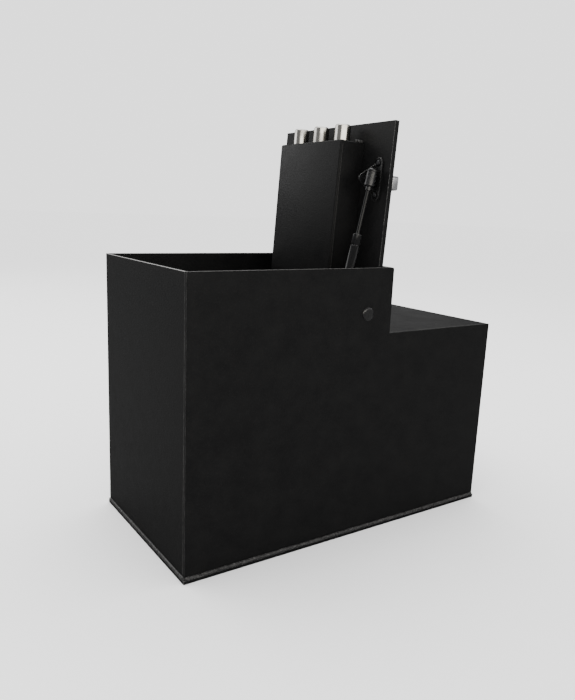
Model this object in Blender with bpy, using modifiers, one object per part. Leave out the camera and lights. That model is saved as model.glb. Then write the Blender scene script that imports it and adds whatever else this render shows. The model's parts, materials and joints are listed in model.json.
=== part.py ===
"""Welded steel in-floor safe: an L-shaped body with a raised neck and a recessed hinged boltwork door.

Everything hangs on three frames. The body frame sits at the body's near left bottom corner, the door
frame on the hinge pin's axis and the strut frame on the gas strut's lower ball. Door coordinates are
those of the closed door: x runs away from the free edge, z out of the floor.
"""

import math

import bmesh
import bpy
from mathutils import Vector

# Body, metres. Heights are measured from the floor, lengths from the left end.
LENGTH = 0.605
WIDTH = 0.308
HEIGHT = 0.445
NECK_LENGTH = 0.361
SHOULDER_HEIGHT = 0.339
WALL = 0.0048
BASE_THICKNESS = 0.006
BASE_OVERHANG = 0.002
RIM_CORNER_RADIUS = 0.003
WELD_LEG = 0.0016
WELD_HEIGHT = 0.0032
WELD_EDGE = 0.001

# Hinge
PIVOT_INSET = 0.049
PIVOT_DROP = 0.072
PIN_RADIUS = 0.008
PIN_WELD_RADIUS = 0.011
PIN_WELD_HEIGHT = 0.0018
OPEN_ANGLE = math.radians(93.5)
LUG_THICKNESS = 0.012
LUG_RADIUS = 0.014
LUG_INSET = 0.044
SPACER_WALL = 0.003

# Door plate and the bars it closes against
PLATE_THICKNESS = 0.008
PLATE_ABOVE_PIVOT = 0.018
PLATE_TAIL = 0.030
FREE_EDGE_GAP = 0.0112
PLATE_SIDE_GAP = 0.0022
STRIKE_WIDTH = 0.010
STRIKE_BOLT_GAP = 0.002
LEDGE_WIDTH = 0.010
LEDGE_THICKNESS = 0.006
LEDGE_PIVOT_GAP = 0.022

# Boltwork
COVER_WIDTH = 0.171
COVER_DEPTH = 0.048
COVER_SHIFT = 0.0055
COVER_HINGE_GAP = 0.030
COVER_SETBACK = 0.031
COVER_SHEET = 0.002
COVER_BEND = 0.003
COVER_WELD_LENGTH = 0.015
BOLT_DIAMETER = 0.0254
BOLT_PITCH = 0.0575
BOLT_DROP = 0.025
BOLT_LENGTH = 0.080
BOLT_RECESS = 0.004
BOLT_CHAMFER = 0.002
BOLT_THROW = 0.010
BAR_THICKNESS = 0.012
BAR_MARGIN = 0.006
BAR_HEIGHT = 0.026
SCREW_HEAD_RADIUS = 0.0065
SCREW_HEAD_HEIGHT = 0.006
SCREW_HEAD_EDGE = 0.0008
DRIVE_PLATE_THICKNESS = 0.005
DRIVE_PLATE_WIDTH = 0.044
DRIVE_PLATE_EDGE = 0.005
GUIDE_SETBACK = 0.054
GUIDE_THICKNESS = 0.006
GUIDE_MARGIN = 0.008

# Handle
HANDLE_SETBACK = 0.089
HANDLE_TURN = math.radians(60)
SPINDLE_RADIUS = 0.006
CAM_RADIUS = 0.017
CRANK_PIN_RADIUS = 0.003
ESCUTCHEON_RADIUS = 0.020
ESCUTCHEON_THICKNESS = 0.004
ESCUTCHEON_CHAMFER = 0.0015
HUB_RADIUS = 0.013
LEVER_HEIGHT = 0.024
LEVER_THICKNESS = 0.013
LEVER_REACH = 0.0965
LEVER_ROOT_RADIUS = 0.016
LEVER_TIP_HALF = 0.011
LEVER_CORNER = 0.003
LEVER_EDGE = 0.002

# Dial and lock
LOCK_LENGTH = 0.083
LOCK_WIDTH = 0.061
LOCK_DEPTH = 0.027
LOCK_WALL = 0.004
LOCK_COVER_THICKNESS = 0.002
LOCK_BAR_GAP = 0.002
LOCK_SPINDLE_INSET = 0.055
LOCK_BOLT_WIDTH = 0.025
LOCK_BOLT_HEIGHT = 0.010
LOCK_BOLT_LENGTH = 0.030
LOCK_BOLT_GAP = 0.0005
LOCK_BOLT_EDGE = 0.0008
WHEEL_RADIUS = 0.022
WHEEL_THICKNESS = 0.0025
WHEEL_PITCH = 0.0045
WHEEL_COUNT = 3
DIAL_SPINDLE_RADIUS = 0.004
DIAL_RADIUS = 0.034
DIAL_RING_RADIUS = 0.040
DIAL_RING_HEIGHT = 0.010
DIAL_RING_CHAMFER = 0.0025
DIAL_KNOB_RADIUS = 0.019
DIAL_HEIGHT = 0.034
DIAL_EDGE = 0.0025
DIAL_SKIRT = 0.003
DIAL_SKIRT_HEIGHT = 0.006
GATE_HALF_ANGLE = 8.0
GATE_DEPTH = 0.0044
GATE_STEP = 40.0
CAM_INSET = 0.0022

# Gas strut
STRUT_Y = 0.029
STUD_FROM_PIVOT = 0.208
STUD_DROP = 0.018
ANCHOR_LEFT_OF_PIVOT = 0.0357
ANCHOR_BELOW_PIVOT = 0.007
BALL_RADIUS = 0.005
STUD_NECK_RADIUS = 0.003
STUD_FLANGE_RADIUS = 0.005
STUD_FLANGE = 0.002
SOCKET_RADIUS = 0.0085
SOCKET_HALF = 0.014
SOCKET_NECK_RADIUS = 0.005
SOCKET_REACH = 0.019
SOCKET_CHAMFER = 0.002
TUBE_RADIUS = 0.0075
TUBE_WALL = 0.0011
TUBE_END = 0.132
TUBE_CRIMP = 0.018
TUBE_PLUG = 0.004
TUBE_EDGE = 0.001
CRIMP_HALF = 0.0015
ROD_RADIUS = 0.003
PISTON_LENGTH = 0.006
BRACKET_SHEET = 0.003
BRACKET_HOLE_SPACING = 0.049
BRACKET_LOBE_RADIUS = 0.009
BRACKET_SHIFT = 0.0032
BRACKET_TAB_REACH = 0.033
BRACKET_NOSE_RADIUS = 0.0072
SCREW_RADIUS = 0.0025
HEAD_RADIUS = 0.005
WALL_BRACKET_SIZE = 0.036
WALL_BRACKET_THICKNESS = 0.006
WALL_BRACKET_EDGE = 0.001

# Clearances
GAP = 0.0003
RUNNING = 0.0004
SLIDING = 0.0006
ROUND = 40

# Positions that follow
PIVOT_X = NECK_LENGTH - PIVOT_INSET
PIVOT_Z = HEIGHT - PIVOT_DROP
FREE_EDGE = PIVOT_X - WALL - FREE_EDGE_GAP
PLATE_OUTER = PLATE_ABOVE_PIVOT + PLATE_THICKNESS
COVER_MIDDLE = WIDTH / 2 + COVER_SHIFT
COVER_END = FREE_EDGE - COVER_SETBACK
BOLT_RADIUS = BOLT_DIAMETER / 2
BOLT_Z = PLATE_ABOVE_PIVOT - BOLT_DROP
BOLT_TIP = FREE_EDGE - BOLT_RECESS
BAR_FRONT = BOLT_TIP - BOLT_LENGTH - GAP
BAR_REAR = BAR_FRONT - BAR_THICKNESS
BOLT_ROW = [COVER_MIDDLE + step * BOLT_PITCH for step in (-1, 0, 1)]
DRIVE_PLATE_BOTTOM = BOLT_Z + BOLT_RADIUS + SLIDING
DRIVE_PLATE_TOP = DRIVE_PLATE_BOTTOM + DRIVE_PLATE_THICKNESS
HANDLE_U = FREE_EDGE - HANDLE_SETBACK
HANDLE_Y = COVER_MIDDLE - BOLT_PITCH / 2
CRANK_RADIUS = BOLT_THROW / (2 * math.sin(HANDLE_TURN / 2))
SLOT_HALF = CRANK_PIN_RADIUS + SLIDING
DRIVE_PLATE_REAR = min(BAR_REAR, HANDLE_U - BOLT_THROW / 2 - SLOT_HALF - DRIVE_PLATE_EDGE)
DRIVE_PLATE_FRONT = max(BAR_FRONT, HANDLE_U - BOLT_THROW / 2 + SLOT_HALF + DRIVE_PLATE_EDGE)
LOCK_END = min(DRIVE_PLATE_REAR, HANDLE_U - CAM_RADIUS) - LOCK_BAR_GAP
LOCK_TOP = PLATE_ABOVE_PIVOT - GAP
LOCK_BOLT_Z = LOCK_TOP - LOCK_DEPTH + LOCK_BOLT_HEIGHT / 2 + 2 * SLIDING
LOCK_BOLT_TIP = BAR_REAR - LOCK_BOLT_GAP
DIAL_U = LOCK_END - LOCK_SPINDLE_INSET
STUD_Z = PLATE_ABOVE_PIVOT - STUD_DROP
ANCHOR_X = PIVOT_X - ANCHOR_LEFT_OF_PIVOT
ANCHOR_Z = PIVOT_Z - ANCHOR_BELOW_PIVOT

FINISHES = {
    "powder_coat": ((0.012, 0.012, 0.013), 0.55, 0.0),
    "weld_bead": ((0.030, 0.029, 0.028), 0.50, 0.3),
    "bright_steel": ((0.62, 0.60, 0.56), 0.25, 1.0),
    "zinc_steel": ((0.42, 0.42, 0.42), 0.40, 1.0),
    "satin_chrome": ((0.75, 0.75, 0.76), 0.22, 1.0),
    "cast_zinc": ((0.45, 0.45, 0.46), 0.45, 1.0),
    "brass": ((0.62, 0.45, 0.18), 0.35, 1.0),
    "black_enamel": ((0.010, 0.010, 0.010), 0.30, 0.0),
    "socket_plastic": ((0.015, 0.015, 0.015), 0.40, 0.0),
}


def collection_named(name):
    made = bpy.data.collections.new(name)
    bpy.context.scene.collection.children.link(made)
    return made


def clear_scene():
    for obj in list(bpy.data.objects):
        bpy.data.objects.remove(obj)


clear_scene()
PARTS = collection_named("in_floor_safe")
CUTTERS = collection_named("cutters")


def frame_at(name, parent, location, turn=0.0):
    """An empty that carries a group of pieces, turned about Y."""
    empty = bpy.data.objects.new(name, None)
    PARTS.objects.link(empty)
    empty.parent = parent
    empty.location = location
    empty.rotation_euler = (0.0, turn, 0.0)
    return empty


def paint(obj, finish):
    colour, roughness, metallic = FINISHES[finish]
    material = bpy.data.materials.new(obj.name)
    material.use_nodes = True
    shader = material.node_tree.nodes["Principled BSDF"]
    shader.inputs["Base Color"].default_value = (*colour, 1.0)
    shader.inputs["Roughness"].default_value = roughness
    shader.inputs["Metallic"].default_value = metallic
    obj.data.materials.append(material)


def placed(name, data, finish, parent, location, rotation=(0.0, 0.0, 0.0)):
    obj = bpy.data.objects.new(name, data)
    PARTS.objects.link(obj)
    obj.parent = parent
    obj.location = location
    obj.rotation_euler = rotation
    paint(obj, finish)
    return obj


def mesh_from(name, bm):
    mesh = bpy.data.meshes.new(name)
    bm.to_mesh(mesh)
    bm.free()
    return mesh


def box(name, low, high, finish, parent, bevel=0.0):
    """A bar or plate between two corners, with its origin at its middle."""
    low, high = Vector(low), Vector(high)
    bm = bmesh.new()
    bmesh.ops.create_cube(bm, size=1.0)
    bmesh.ops.scale(bm, vec=high - low, verts=bm.verts)
    obj = placed(name, mesh_from(name, bm), finish, parent, (low + high) / 2)
    if bevel:
        modifier = obj.modifiers.new("Edges", "BEVEL")
        modifier.width = bevel
        modifier.segments = 2
    return obj


TURNS = {
    "X": (0.0, math.pi / 2, 0.0),
    "Y": (-math.pi / 2, 0.0, 0.0),
    "Z": (0.0, 0.0, 0.0),
}


def turned(name, profile, finish, parent, location, axis="Z", hollow=False, steps=ROUND):
    """A turned piece. The profile holds (radius, height) from the top down the outer side."""
    bm = bmesh.new()
    points = [bm.verts.new((radius, 0.0, height)) for radius, height in profile]
    ends = points[1:] + points[:1] if hollow else points[1:]
    for start, end in zip(points, ends):
        bm.edges.new((start, end))
    obj = placed(name, mesh_from(name, bm), finish, parent, location, TURNS[axis])
    screw = obj.modifiers.new("Turn", "SCREW")
    screw.steps = steps
    screw.render_steps = steps
    screw.use_merge_vertices = True
    screw.merge_threshold = 0.00001
    screw.use_smooth_shade = True
    return obj


def rod_profile(radius, low, high, chamfer=0.0):
    if not chamfer:
        return [(0.0, high), (radius, high), (radius, low), (0.0, low)]
    return [
        (0.0, high),
        (radius - chamfer, high),
        (radius, high - chamfer),
        (radius, low),
        (0.0, low),
    ]


def ring_profile(outer, inner, low, high):
    return [(inner, high), (outer, high), (outer, low), (inner, low)]


def arc(centre, radius, start, end, steps):
    """Points along an arc, angles in degrees."""
    angles = [start + (end - start) * step / steps for step in range(steps + 1)]
    return [
        (
            centre[0] + radius * math.cos(math.radians(angle)),
            centre[1] + radius * math.sin(math.radians(angle)),
        )
        for angle in angles
    ]


def circle(centre, radius, steps=ROUND):
    return arc(centre, radius, 0.0, 360.0, steps)[:-1]


PLANES = {
    "XY": (0.0, 0.0, 0.0),
    "XZ": (math.pi / 2, 0.0, 0.0),
    "YZ": (math.pi / 2, 0.0, math.pi / 2),
}


def outline_curve(name, outlines, thickness):
    curve = bpy.data.curves.new(name, "CURVE")
    curve.dimensions = "2D"
    curve.fill_mode = "BOTH"
    curve.extrude = thickness / 2
    for points in outlines:
        spline = curve.splines.new("POLY")
        spline.points.add(len(points) - 1)
        for point, (x, y) in zip(spline.points, points):
            point.co = (x, y, 0.0, 1.0)
        spline.use_cyclic_u = True
    return curve


def flat(name, outlines, thickness, finish, parent, location, plane):
    """A plate cut to an outline, the first loop, with holes, the other loops."""
    curve = outline_curve(name, outlines, thickness)
    return placed(name, curve, finish, parent, location, PLANES[plane])


def made_mesh(obj):
    """The curve object as a welded mesh object of the same name and place."""
    name, parent, place = obj.name, obj.parent, (obj.location.copy(), obj.rotation_euler.copy())
    bpy.context.view_layer.update()
    graph = bpy.context.evaluated_depsgraph_get()
    mesh = bpy.data.meshes.new_from_object(obj.evaluated_get(graph))
    bpy.data.objects.remove(obj)
    bm = bmesh.new()
    bm.from_mesh(mesh)
    bmesh.ops.remove_doubles(bm, verts=bm.verts, dist=0.00001)
    bm.to_mesh(mesh)
    bm.free()
    made = bpy.data.objects.new(name, mesh)
    PARTS.objects.link(made)
    made.parent = parent
    made.location, made.rotation_euler = place
    return made


def as_cutter(obj):
    PARTS.objects.unlink(obj)
    CUTTERS.objects.link(obj)
    obj.hide_render = True
    obj.display_type = "WIRE"
    return obj


def combine(target, tool, operation="DIFFERENCE"):
    modifier = target.modifiers.new(tool.name, "BOOLEAN")
    modifier.operation = operation
    modifier.solver = "EXACT"
    modifier.object = as_cutter(tool)


# Body


def build_base(body):
    box(
        "base_plate",
        (-BASE_OVERHANG, -BASE_OVERHANG, 0.0),
        (LENGTH + BASE_OVERHANG, WIDTH + BASE_OVERHANG, BASE_THICKNESS),
        "powder_coat",
        body,
    )


def build_base_weld(body):
    """The fillet round the foot of the walls: a tapered frame with the body's footprint cut out."""
    bottom = BASE_THICKNESS + GAP
    outer = WELD_LEG + GAP
    low = Vector((-outer, -outer, bottom))
    high = Vector((LENGTH + outer, WIDTH + outer, bottom + WELD_HEIGHT))
    size = high - low
    bm = bmesh.new()
    bmesh.ops.create_cube(bm, size=1.0)
    bmesh.ops.scale(bm, vec=size, verts=bm.verts)
    top = [vert for vert in bm.verts if vert.co.z > 0.0]
    taper = (1.0 - 2 * WELD_LEG / size.x, 1.0 - 2 * WELD_LEG / size.y, 1.0)
    bmesh.ops.scale(bm, vec=taper, verts=top)
    bead = placed("base_weld_bead", mesh_from("base_weld_bead", bm), "weld_bead", body, (low + high) / 2)
    trim = GAP / 2
    footprint = box(
        "footprint_cut",
        (-trim, -trim, 0.0),
        (LENGTH + trim, WIDTH + trim, bottom + 2 * WELD_HEIGHT),
        "weld_bead",
        body,
    )
    combine(bead, footprint)


def side_outline():
    foot = BASE_THICKNESS + GAP
    corner = (NECK_LENGTH - RIM_CORNER_RADIUS, HEIGHT - RIM_CORNER_RADIUS)
    neck_corner = arc(corner, RIM_CORNER_RADIUS, 0.0, 90.0, 4)
    shoulder = [(0.0, foot), (LENGTH, foot), (LENGTH, SHOULDER_HEIGHT), (NECK_LENGTH, SHOULDER_HEIGHT)]
    return shoulder + neck_corner + [(0.0, HEIGHT)]


def build_side_walls(body):
    hole = circle((PIVOT_X, PIVOT_Z), PIN_RADIUS + GAP)
    for name, middle in (("near_side_wall", WALL / 2), ("far_side_wall", WIDTH - WALL / 2)):
        flat(name, [side_outline(), hole], WALL, "powder_coat", body, (0.0, middle, 0.0), "XZ")


def between_sides(x_low, x_high, z_low, z_high):
    """Corners of a piece that spans the body between its side walls."""
    inner = WALL + GAP
    return (x_low, inner, z_low), (x_high, WIDTH - inner, z_high)


def build_cross_walls(body):
    foot = BASE_THICKNESS + GAP
    shoulder_under = SHOULDER_HEIGHT - WALL
    left = between_sides(0.0, WALL, foot, HEIGHT)
    right = between_sides(LENGTH - WALL, LENGTH, foot, shoulder_under - GAP)
    shoulder = between_sides(NECK_LENGTH + GAP, LENGTH, shoulder_under, SHOULDER_HEIGHT)
    neck = between_sides(NECK_LENGTH - WALL, NECK_LENGTH, shoulder_under, HEIGHT)
    box("left_end_wall", *left, "powder_coat", body)
    box("right_end_wall", *right, "powder_coat", body)
    box("shoulder_plate", *shoulder, "powder_coat", body)
    box("neck_wall", *neck, "powder_coat", body)


def build_strike(body):
    top = PIVOT_Z + PLATE_ABOVE_PIVOT - GAP
    strike_bottom = PIVOT_Z + BOLT_Z + BOLT_RADIUS + STRIKE_BOLT_GAP
    strike_right = WALL + GAP + STRIKE_WIDTH
    box("strike_bar", *between_sides(WALL + GAP, strike_right, strike_bottom, top), "powder_coat", body)
    ledge_left = strike_right + GAP
    ledge_right = PIVOT_X - LEDGE_PIVOT_GAP
    bottom = top - LEDGE_THICKNESS
    near = WALL + GAP
    far = WIDTH - near
    near_high = (ledge_right, near + LEDGE_WIDTH, top)
    far_low = (ledge_left, far - LEDGE_WIDTH, bottom)
    box("near_ledge", (ledge_left, near, bottom), near_high, "powder_coat", body)
    box("far_ledge", far_low, (ledge_right, far, top), "powder_coat", body)


def build_hinge_pin(body):
    axis = (PIVOT_X, 0.0, PIVOT_Z)
    turned("hinge_pin", rod_profile(PIN_RADIUS, 0.0, WIDTH), "zinc_steel", body, axis, "Y")
    dome = [
        (PIN_WELD_RADIUS * math.sin(math.radians(angle)), PIN_WELD_HEIGHT * math.cos(math.radians(angle)))
        for angle in range(0, 91, 15)
    ]
    near = turned("near_pin_weld", dome + [(0.0, 0.0)], "weld_bead", body, (PIVOT_X, -GAP, PIVOT_Z), "Y")
    near.rotation_euler = (math.pi / 2, 0.0, 0.0)
    turned("far_pin_weld", dome + [(0.0, 0.0)], "weld_bead", body, (PIVOT_X, WIDTH + GAP, PIVOT_Z), "Y")


def build_spacers(body):
    length = LUG_INSET - WALL - 2 * GAP
    bore = PIN_RADIUS + GAP
    profile = ring_profile(bore + SPACER_WALL, bore, 0.0, length)
    near = (PIVOT_X, WALL + GAP, PIVOT_Z)
    far = (PIVOT_X, WIDTH - WALL - GAP - length, PIVOT_Z)
    turned("near_hinge_spacer", profile, "zinc_steel", body, near, "Y", hollow=True)
    turned("far_hinge_spacer", profile, "zinc_steel", body, far, "Y", hollow=True)


def stud_profile(reach):
    """A ball on a neck, standing up from its flange. The ball's centre is at height 0."""
    neck_angle = math.degrees(math.asin(STUD_NECK_RADIUS / BALL_RADIUS))
    angles = [(180.0 - neck_angle) * step / 10 for step in range(11)]
    ball = [
        (BALL_RADIUS * math.sin(math.radians(angle)), BALL_RADIUS * math.cos(math.radians(angle)))
        for angle in angles
    ]
    return ball + [
        (STUD_NECK_RADIUS, STUD_FLANGE - reach),
        (STUD_FLANGE_RADIUS, STUD_FLANGE - reach),
        (STUD_FLANGE_RADIUS, -reach),
        (0.0, -reach),
    ]


def build_wall_bracket(body):
    inner = WALL + GAP
    half = WALL_BRACKET_SIZE / 2
    low = (ANCHOR_X - half, inner, ANCHOR_Z - half)
    high = (ANCHOR_X + half, inner + WALL_BRACKET_THICKNESS, ANCHOR_Z + STUD_FLANGE_RADIUS)
    box("strut_wall_bracket", low, high, "powder_coat", body, bevel=WALL_BRACKET_EDGE)
    reach = STRUT_Y - inner - WALL_BRACKET_THICKNESS - GAP
    ball = (ANCHOR_X, STRUT_Y, ANCHOR_Z)
    turned("strut_lower_stud", stud_profile(reach), "zinc_steel", body, ball, "Y", steps=24)


# Door


def build_door_plate(door):
    side = WALL + PLATE_SIDE_GAP
    outline = [
        (-FREE_EDGE, side),
        (PLATE_TAIL, side),
        (PLATE_TAIL, WIDTH - side),
        (-FREE_EDGE, WIDTH - side),
    ]
    handle_hole = circle((-HANDLE_U, HANDLE_Y), SPINDLE_RADIUS + SLIDING)
    dial_hole = circle((-DIAL_U, COVER_MIDDLE), DIAL_SPINDLE_RADIUS + SLIDING)
    middle = (0.0, 0.0, PLATE_ABOVE_PIVOT + PLATE_THICKNESS / 2)
    loops = [outline, handle_hole, dial_hole]
    flat("door_plate", loops, PLATE_THICKNESS, "powder_coat", door, middle, "XY")


def build_lugs(door):
    top = PLATE_ABOVE_PIVOT - GAP
    cheeks = arc((0.0, 0.0), LUG_RADIUS, 180.0, 360.0, 20)
    outline = cheeks + [(LUG_RADIUS, top), (-LUG_RADIUS, top)]
    bore = circle((0.0, 0.0), PIN_RADIUS + RUNNING)
    near = LUG_INSET + GAP + LUG_THICKNESS / 2
    for name, middle in (("near_hinge_lug", near), ("far_hinge_lug", WIDTH - near)):
        flat(name, [outline, bore], LUG_THICKNESS, "powder_coat", door, (0.0, middle, 0.0), "XZ")


def build_cover(door):
    """Folded sheet box over the boltwork, open towards the plate."""
    low = Vector((-COVER_END, COVER_MIDDLE - COVER_WIDTH / 2, PLATE_ABOVE_PIVOT - COVER_DEPTH))
    high = Vector((-COVER_HINGE_GAP, COVER_MIDDLE + COVER_WIDTH / 2, PLATE_ABOVE_PIVOT - GAP))
    bm = bmesh.new()
    bmesh.ops.create_cube(bm, size=1.0)
    bmesh.ops.scale(bm, vec=high - low, verts=bm.verts)
    mouth = [face for face in bm.faces if face.normal.z > 0.5]
    bmesh.ops.delete(bm, geom=mouth, context="FACES_ONLY")
    cover = placed("boltwork_cover", mesh_from("boltwork_cover", bm), "powder_coat", door, (low + high) / 2)
    bend = cover.modifiers.new("Bends", "BEVEL")
    bend.width = COVER_BEND
    bend.segments = 3
    sheet = cover.modifiers.new("Sheet", "SOLIDIFY")
    sheet.thickness = COVER_SHEET
    sheet.offset = -1.0
    sheet.use_even_offset = True
    for number, y in enumerate(BOLT_ROW, 1):
        cut = turned(
            f"cover_bolt_hole_{number}",
            rod_profile(BOLT_RADIUS + SLIDING, -COVER_BEND, COVER_BEND),
            "powder_coat",
            door,
            (-COVER_END, y, BOLT_Z),
            "X",
        )
        combine(cover, cut)


def build_cover_welds(door):
    half = COVER_WIDTH / 2
    bead = WELD_HEIGHT
    bottom = PLATE_ABOVE_PIVOT - COVER_WELD_LENGTH
    top = PLATE_ABOVE_PIVOT - 2 * GAP
    for name, side in (("cover_weld_near", -1), ("cover_weld_far", 1)):
        edge = COVER_MIDDLE + side * (half - COVER_BEND - bead / 2)
        low = (-COVER_END - GAP - bead, edge - bead / 2, bottom)
        high = (-COVER_END - GAP, edge + bead / 2, top)
        box(name, low, high, "weld_bead", door, bevel=WELD_EDGE)


def build_guide(door):
    half = COVER_WIDTH / 2 - GUIDE_MARGIN
    low = BOLT_Z - BOLT_RADIUS - COVER_SHEET
    high = PLATE_ABOVE_PIVOT - GAP
    outline = [
        (COVER_MIDDLE - half, low),
        (COVER_MIDDLE + half, low),
        (COVER_MIDDLE + half, high),
        (COVER_MIDDLE - half, high),
    ]
    holes = [circle((y, BOLT_Z), BOLT_RADIUS + RUNNING) for y in BOLT_ROW]
    place = (GUIDE_SETBACK - FREE_EDGE, 0.0, 0.0)
    flat("bolt_guide", [outline, *holes], GUIDE_THICKNESS, "zinc_steel", door, place, "YZ")


def build_strut_bracket(door):
    """Sheet foot with two lobes, and a three-cornered tab that stands square to the plate."""
    half = BRACKET_HOLE_SPACING / 2
    middle_y = STRUT_Y + BRACKET_SHIFT
    foot_z = PLATE_ABOVE_PIVOT - GAP - BRACKET_SHEET / 2
    right = arc((half, 0.0), BRACKET_LOBE_RADIUS, -90.0, 90.0, 12)
    left = arc((-half, 0.0), BRACKET_LOBE_RADIUS, 90.0, 270.0, 12)
    holes = [circle((end, 0.0), SCREW_RADIUS + GAP, 20) for end in (-half, half)]
    place = (-STUD_FROM_PIVOT, middle_y, foot_z)
    loops = [right + left, *holes]
    foot = flat("strut_door_bracket", loops, BRACKET_SHEET, "black_enamel", door, place, "XY")
    foot = made_mesh(foot)
    root = PLATE_ABOVE_PIVOT - GAP - BRACKET_SHEET / 2
    nose = BRACKET_NOSE_RADIUS
    tip = PLATE_ABOVE_PIVOT - BRACKET_TAB_REACH + nose
    nose_points = arc((0.0, tip), nose, 230.0, 310.0, 6)
    outline = nose_points + [(half, root), (-half, root)]
    tab_y = STRUT_Y + BRACKET_LOBE_RADIUS + BRACKET_SHEET / 2
    place = (-STUD_FROM_PIVOT, tab_y, 0.0)
    tab = flat("bracket_tab", [outline], BRACKET_SHEET, "black_enamel", door, place, "XZ")
    combine(foot, made_mesh(tab), "UNION")


def build_bracket_screws(door):
    head_top = PLATE_ABOVE_PIVOT - GAP - BRACKET_SHEET - GAP
    head = HEAD_RADIUS
    middle_y = STRUT_Y + BRACKET_SHIFT
    profile = [
        (0.0, 0.0),
        (head, 0.0),
        (head, -0.2 * head),
        (0.75 * head, -0.45 * head),
        (0.0, -0.55 * head),
    ]
    for name, side in (("bracket_screw_outer", -1), ("bracket_screw_inner", 1)):
        x = -STUD_FROM_PIVOT + side * BRACKET_HOLE_SPACING / 2
        turned(name, profile, "zinc_steel", door, (x, middle_y, head_top), steps=20)


def build_lock_case(door):
    top = LOCK_TOP
    bottom = top - LOCK_DEPTH
    half = LOCK_WIDTH / 2
    near, far = COVER_MIDDLE - half, COVER_MIDDLE + half
    low = (-LOCK_END, near, bottom)
    high = (LOCK_LENGTH - LOCK_END, far, top)
    case = box("lock_case", low, high, "cast_zinc", door)
    hollow_low = (-LOCK_END + LOCK_WALL, near + LOCK_WALL, bottom - LOCK_WALL)
    hollow_high = (high[0] - LOCK_WALL, far - LOCK_WALL, top - LOCK_WALL)
    combine(case, box("lock_hollow", hollow_low, hollow_high, "cast_zinc", door))
    slot_half = LOCK_BOLT_WIDTH / 2 + SLIDING
    slot_low = (-LOCK_END - LOCK_WALL, COVER_MIDDLE - slot_half, LOCK_BOLT_Z - LOCK_BOLT_HEIGHT / 2 - SLIDING)
    slot_high = (
        -LOCK_END + LOCK_WALL + GAP,
        COVER_MIDDLE + slot_half,
        LOCK_BOLT_Z + LOCK_BOLT_HEIGHT / 2 + SLIDING,
    )
    combine(case, box("lock_bolt_slot", slot_low, slot_high, "cast_zinc", door))
    hole = rod_profile(DIAL_SPINDLE_RADIUS + SLIDING, -LOCK_WALL, LOCK_WALL)
    place = (-DIAL_U, COVER_MIDDLE, top - LOCK_WALL / 2)
    combine(case, turned("lock_spindle_hole", hole, "cast_zinc", door, place))
    cover_low = (low[0], near, bottom - GAP - LOCK_COVER_THICKNESS)
    cover_high = (high[0], far, bottom - GAP)
    box("lock_cover", cover_low, cover_high, "zinc_steel", door)


def build_escutcheon(door):
    bore = SPINDLE_RADIUS + SLIDING
    profile = [
        (bore, ESCUTCHEON_THICKNESS),
        (ESCUTCHEON_RADIUS - ESCUTCHEON_CHAMFER, ESCUTCHEON_THICKNESS),
        (ESCUTCHEON_RADIUS, ESCUTCHEON_THICKNESS - ESCUTCHEON_CHAMFER),
        (ESCUTCHEON_RADIUS, 0.0),
        (bore, 0.0),
    ]
    place = (-HANDLE_U, HANDLE_Y, PLATE_OUTER + GAP)
    turned("handle_escutcheon", profile, "satin_chrome", door, place, hollow=True)


def build_dial_ring(door):
    inner = DIAL_RADIUS + SLIDING
    step = DIAL_SPINDLE_RADIUS + SLIDING
    floor = DIAL_RING_HEIGHT / 3
    profile = [
        (inner, DIAL_RING_HEIGHT),
        (DIAL_RING_RADIUS - DIAL_RING_CHAMFER, DIAL_RING_HEIGHT),
        (DIAL_RING_RADIUS, DIAL_RING_HEIGHT - DIAL_RING_CHAMFER),
        (DIAL_RING_RADIUS, 0.0),
        (step, 0.0),
        (step, floor),
        (inner, floor),
    ]
    place = (-DIAL_U, COVER_MIDDLE, PLATE_OUTER + GAP)
    turned("dial_ring", profile, "satin_chrome", door, place, hollow=True, steps=48)


# Boltwork, on a frame that slides along the door


def build_bolts(work):
    profile = rod_profile(BOLT_RADIUS, 0.0, BOLT_LENGTH, BOLT_CHAMFER)
    for number, y in enumerate(BOLT_ROW, 1):
        bolt = turned(
            f"locking_bolt_{number}", profile, "bright_steel", work, (-BOLT_TIP + BOLT_LENGTH, y, 0.0), "X"
        )
        bolt.rotation_euler = (0.0, -math.pi / 2, 0.0)


def build_bolt_bar(work):
    half = COVER_WIDTH / 2 - COVER_SHEET - BAR_MARGIN
    top = DRIVE_PLATE_BOTTOM - GAP - BOLT_Z
    low = (-BAR_FRONT, COVER_MIDDLE - half, top - BAR_HEIGHT)
    high = (-BAR_REAR, COVER_MIDDLE + half, top)
    bar = box("bolt_bar", low, high, "zinc_steel", work)
    pocket = SCREW_HEAD_HEIGHT + SLIDING
    for number, y in enumerate(BOLT_ROW, 1):
        cutter = rod_profile(SCREW_HEAD_RADIUS + SLIDING, -pocket, BAR_THICKNESS)
        place = (-BAR_REAR, y, 0.0)
        combine(bar, turned(f"screw_pocket_{number}", cutter, "zinc_steel", work, place, "X"))
        head = rod_profile(SCREW_HEAD_RADIUS, 0.0, SCREW_HEAD_HEIGHT - GAP, SCREW_HEAD_EDGE)
        place = (-BAR_REAR - SCREW_HEAD_HEIGHT, y, 0.0)
        turned(f"bolt_screw_{number}", head, "black_enamel", work, place, "X", steps=24)


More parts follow.
